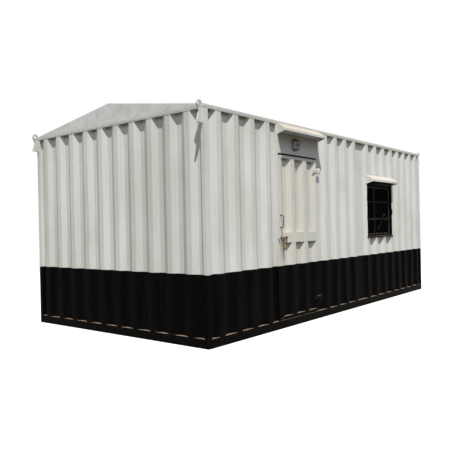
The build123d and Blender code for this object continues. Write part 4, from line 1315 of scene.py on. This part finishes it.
class SITECABIN_OT_line_inside(bpy.types.Operator):
    """Line the inside with skirting, cover battens, ceiling battens and trims round the openings."""

    bl_idname = "site_cabin.line_inside"
    bl_label = "Line inside"

    BATTEN = 0.020
    TRIM = 0.045
    SKIRTING_HEIGHT = 0.075

    def execute(self, context):
        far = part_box("end_and_far_lining")
        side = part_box("door_side_lining")
        board = side[1].x - side[0].x
        floor, ceiling = far[0].z, far[1].z
        back, front = far[0].x + board, side[0].x
        near, away = far[0].y + board, far[1].y - board
        door = (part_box("door_leaf_frame")[0].y + 0.016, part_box("door_leaf_frame")[1].y - 0.006)
        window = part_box("window_frame")

        battens = []
        for y in np.linspace(near, away, 6)[1:-1]:
            battens.append(((back, y - self.BATTEN, floor), (back + 0.006, y + self.BATTEN, ceiling)))
            battens.append(((back, y - self.BATTEN, ceiling - 0.006), (front, y + self.BATTEN, ceiling)))
        for x in np.linspace(back, front, 4)[1:-1]:
            for start, end in ((near, near + 0.006), (away - 0.006, away)):
                battens.append(((x - self.BATTEN, start, floor), (x + self.BATTEN, end, ceiling)))
        for low_y, high_y, low_z, high_z in (
            (window[0].y, window[1].y, window[0].z, window[1].z),
            (*door, floor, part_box("transom_panel")[0].z + 0.03),
        ):
            for start, end in ((low_y - self.TRIM, low_y), (high_y, high_y + self.TRIM)):
                battens.append(((front - 0.008, start, low_z), (front, end, high_z)))
            shade_strip_low = (front - 0.008, low_y - self.TRIM, high_z)
            battens.append((shade_strip_low, (front, high_y + self.TRIM, high_z + self.TRIM)))
        sill_low = (front - 0.030, window[0].y - self.TRIM, window[0].z - 0.018)
        battens.append((sill_low, (front, window[1].y + self.TRIM, window[0].z)))

        top = floor + self.SKIRTING_HEIGHT
        skirting = [((front - 0.010, near, floor), (front, door[0] - self.TRIM, top))]
        skirting.append(((front - 0.010, door[1] + self.TRIM, floor), (front, away, top)))
        skirting.append(((back, near, floor), (back + 0.010, away, top)))
        skirting.append(((back, near, floor), (front, near + 0.010, top)))
        skirting.append(((back, away - 0.010, floor), (front, away, top)))

        for name, boxes, finish in (
            ("inside_battens", battens, "white_ceiling_laminate"),
            ("inside_skirting", skirting, "warm_lining_laminate"),
        ):
            surface = joined([soft_block(low, high, 0.002) for low, high in boxes])
            fit(name, surface, finish)
        return {"FINISHED"}




def seen_directly(tree):
    """One where the camera, a mirror or a glass sees the backdrop, and nothing where it lights the cabin."""
    path = add(tree, "LightPath", output=None)
    mirrored = add(tree, "Math", LARGER, (path["Is Glossy Ray"], path["Is Transmission Ray"]))
    return add(tree, "Math", LARGER, (path["Is Camera Ray"], mirrored))


def matt_studio_floor():
    """Matt studio floor: pale and faintly uneven, fading into the studio's white, with a greyer bounce."""
    stage = settings()[2]
    material = bpy.data.materials.new("matt_studio_floor")
    material.use_nodes = True
    node = partial(add, material.node_tree)
    material.node_tree.nodes.clear()
    place = node("TexCoord", output="Object")
    away = node("VectorMath", {"operation": "LENGTH"}, (place,), "Value")
    inputs = {"Vector": place, "Scale": 1 / 0.9, "Detail": 3.0, "Roughness": 0.55}
    uneven = node("TexNoise", {}, inputs, "Fac")
    pale = opaque(stage.floor_colour)
    tone = node("Mix", COLOURS, {0: uneven, 6: pale, 7: opaque([c * 0.985 for c in stage.floor_colour])}, 2)
    seen = seen_directly(material.node_tree)
    colour = node("Mix", COLOURS, {0: seen, 6: opaque(stage.floor_bounce), 7: tone}, 2)
    matt = node("BsdfDiffuse", {}, {"Color": colour})
    white = node("Emission", {}, {"Color": WHITE, "Strength": 1.0})
    far = node("MapRange", SMOOTH, (away, 5.0, 11.0, 0.0, seen))
    node("OutputMaterial", {}, {"Surface": node("MixShader", {}, (far, matt, white))}, None)
    return material


class SITECABIN_OT_set_stage(bpy.types.Operator):
    """Put a pale floor, studio light and the photograph's viewpoint round the cabin."""

    bl_idname = "site_cabin.set_stage"
    bl_label = "Set stage"

    FLOOR_HALF_WIDTH = 60.0
    CAMERA_PLACE = (5.25645, -7.3304, 1.2735)
    CAMERA_YAW = 39.169
    CAMERA_PITCH = 0.011
    CAMERA_ROLL = -1.2255
    KEY_DIRECTION = (0.321, -0.267, 0.909)
    KEY_COLOUR = (1.0, 0.968, 0.905)
    SKY_COLOUR = (0.84, 0.94, 1.0)

    def execute(self, context):
        scene = context.scene
        self.lay_floor(scene)
        self.light_sky(scene)
        self.hang_key(scene)
        self.place_camera(scene)
        scene.view_settings.view_transform = "Standard"
        return {"FINISHED"}

    def lay_floor(self, scene):
        """A flat square just under the cabin."""
        side = np.linspace(-self.FLOOR_HALF_WIDTH, self.FLOOR_HALF_WIDTH, 2)
        corners = np.stack([*np.meshgrid(side, side), np.full((2, 2), -MILLIMETRE)], -1)
        mesh = bpy.data.meshes.new("studio_floor")
        mesh.from_pydata(corners.reshape(-1, 3).tolist(), [], [(0, 1, 3, 2)])
        mesh.materials.append(matt_studio_floor())
        floor = bpy.data.objects.new("studio_floor", mesh)
        scene.collection.objects.link(floor)

    def light_sky(self, scene):
        """Even fill from all round, and white behind the cabin."""
        world = bpy.data.worlds.new("studio_light")
        world.use_nodes = True
        tree = world.node_tree
        tree.nodes.clear()
        strength = settings()[2].sky_strength
        fill = add(tree, "Background", {}, {"Color": opaque(self.SKY_COLOUR), "Strength": strength})
        white = add(tree, "Background", {}, {"Color": WHITE, "Strength": 1.0})
        shown = add(tree, "MixShader", {}, (seen_directly(tree), fill, white))
        add(tree, "OutputWorld", {}, {"Surface": shown}, None)
        scene.world = world

    def hang_key(self, scene):
        """A far, slightly warm key light that gives crisp shadows."""
        stage = settings()[2]
        key = bpy.data.lights.new("key_light", "SUN")
        key.energy = stage.key_strength
        key.angle = stage.key_spread
        key.color = self.KEY_COLOUR
        lamp = bpy.data.objects.new("key_light", key)
        across, back, height = self.KEY_DIRECTION
        lamp.rotation_euler = (atan2(np.hypot(across, back), height), 0, atan2(back, across) + pi / 2)
        scene.collection.objects.link(lamp)

    def place_camera(self, scene):
        """The photograph's viewpoint, from its yaw, pitch and roll."""
        camera = bpy.data.cameras.new("photograph_view")
        camera.sensor_width = 36.0
        camera.lens = settings()[2].lens
        camera.clip_end = 300.0
        angles = (self.CAMERA_YAW, self.CAMERA_PITCH, self.CAMERA_ROLL)
        yaw, pitch, roll = (radians(angle) for angle in angles)
        forward = np.array([-sin(yaw) * cos(pitch), cos(yaw) * cos(pitch), sin(pitch)])
        right = unit(np.cross(forward, UP))
        above = np.cross(right, forward)
        across = cos(roll) * right + sin(roll) * above
        upright = -sin(roll) * right + cos(roll) * above
        pose = np.eye(4)
        pose[:3, :3] = np.stack([across, upright, -forward], 1)
        pose[:3, 3] = self.CAMERA_PLACE
        holder = bpy.data.objects.new("photograph_view", camera)
        holder.matrix_world = Matrix(pose.tolist())
        scene.collection.objects.link(holder)
        scene.camera = holder


OPERATORS = (
    SITECABIN_OT_mix_finishes,
    SITECABIN_OT_paint_steelwork,
    SITECABIN_OT_fold_wall_sheets,
    SITECABIN_OT_lay_roof,
    SITECABIN_OT_run_welds,
    SITECABIN_OT_fit_lamp,
    SITECABIN_OT_fit_latch,
    SITECABIN_OT_fit_hinges,
    SITECABIN_OT_fit_window,
    SITECABIN_OT_line_inside,
    SITECABIN_OT_set_stage,
)


class SITECABIN_PT_panel(bpy.types.Panel):
    """Lists the cabin's settings and the steps that dress it."""

    bl_idname = "SITECABIN_PT_panel"
    bl_label = "Site cabin"
    bl_space_type = "VIEW_3D"
    bl_region_type = "UI"
    bl_category = "Site Cabin"

    def draw(self, context):
        for group in settings():
            for name in group.bl_rna.properties.keys():
                if name not in ("rna_type", "name"):
                    self.layout.prop(group, name)
        for operator in OPERATORS:
            self.layout.operator(operator.bl_idname)


GROUPS = (
    ("site_cabin_paint", PaintSettings),
    ("site_cabin_sheet", SheetSettings),
    ("site_cabin_stage", StageSettings),
)


def register():
    for name, group in GROUPS:
        bpy.utils.register_class(group)
        setattr(bpy.types.Scene, name, PointerProperty(type=group))
    for operator in OPERATORS:
        bpy.utils.register_class(operator)
    bpy.utils.register_class(SITECABIN_PT_panel)


def unregister():
    bpy.utils.unregister_class(SITECABIN_PT_panel)
    for operator in reversed(OPERATORS):
        bpy.utils.unregister_class(operator)
    for name, group in reversed(GROUPS):
        delattr(bpy.types.Scene, name)
        bpy.utils.unregister_class(group)


def main():
    register()
    for operator in OPERATORS:
        section, step = operator.bl_idname.split(".")
        getattr(getattr(bpy.ops, section), step)()


if __name__ == "__main__":
    main()
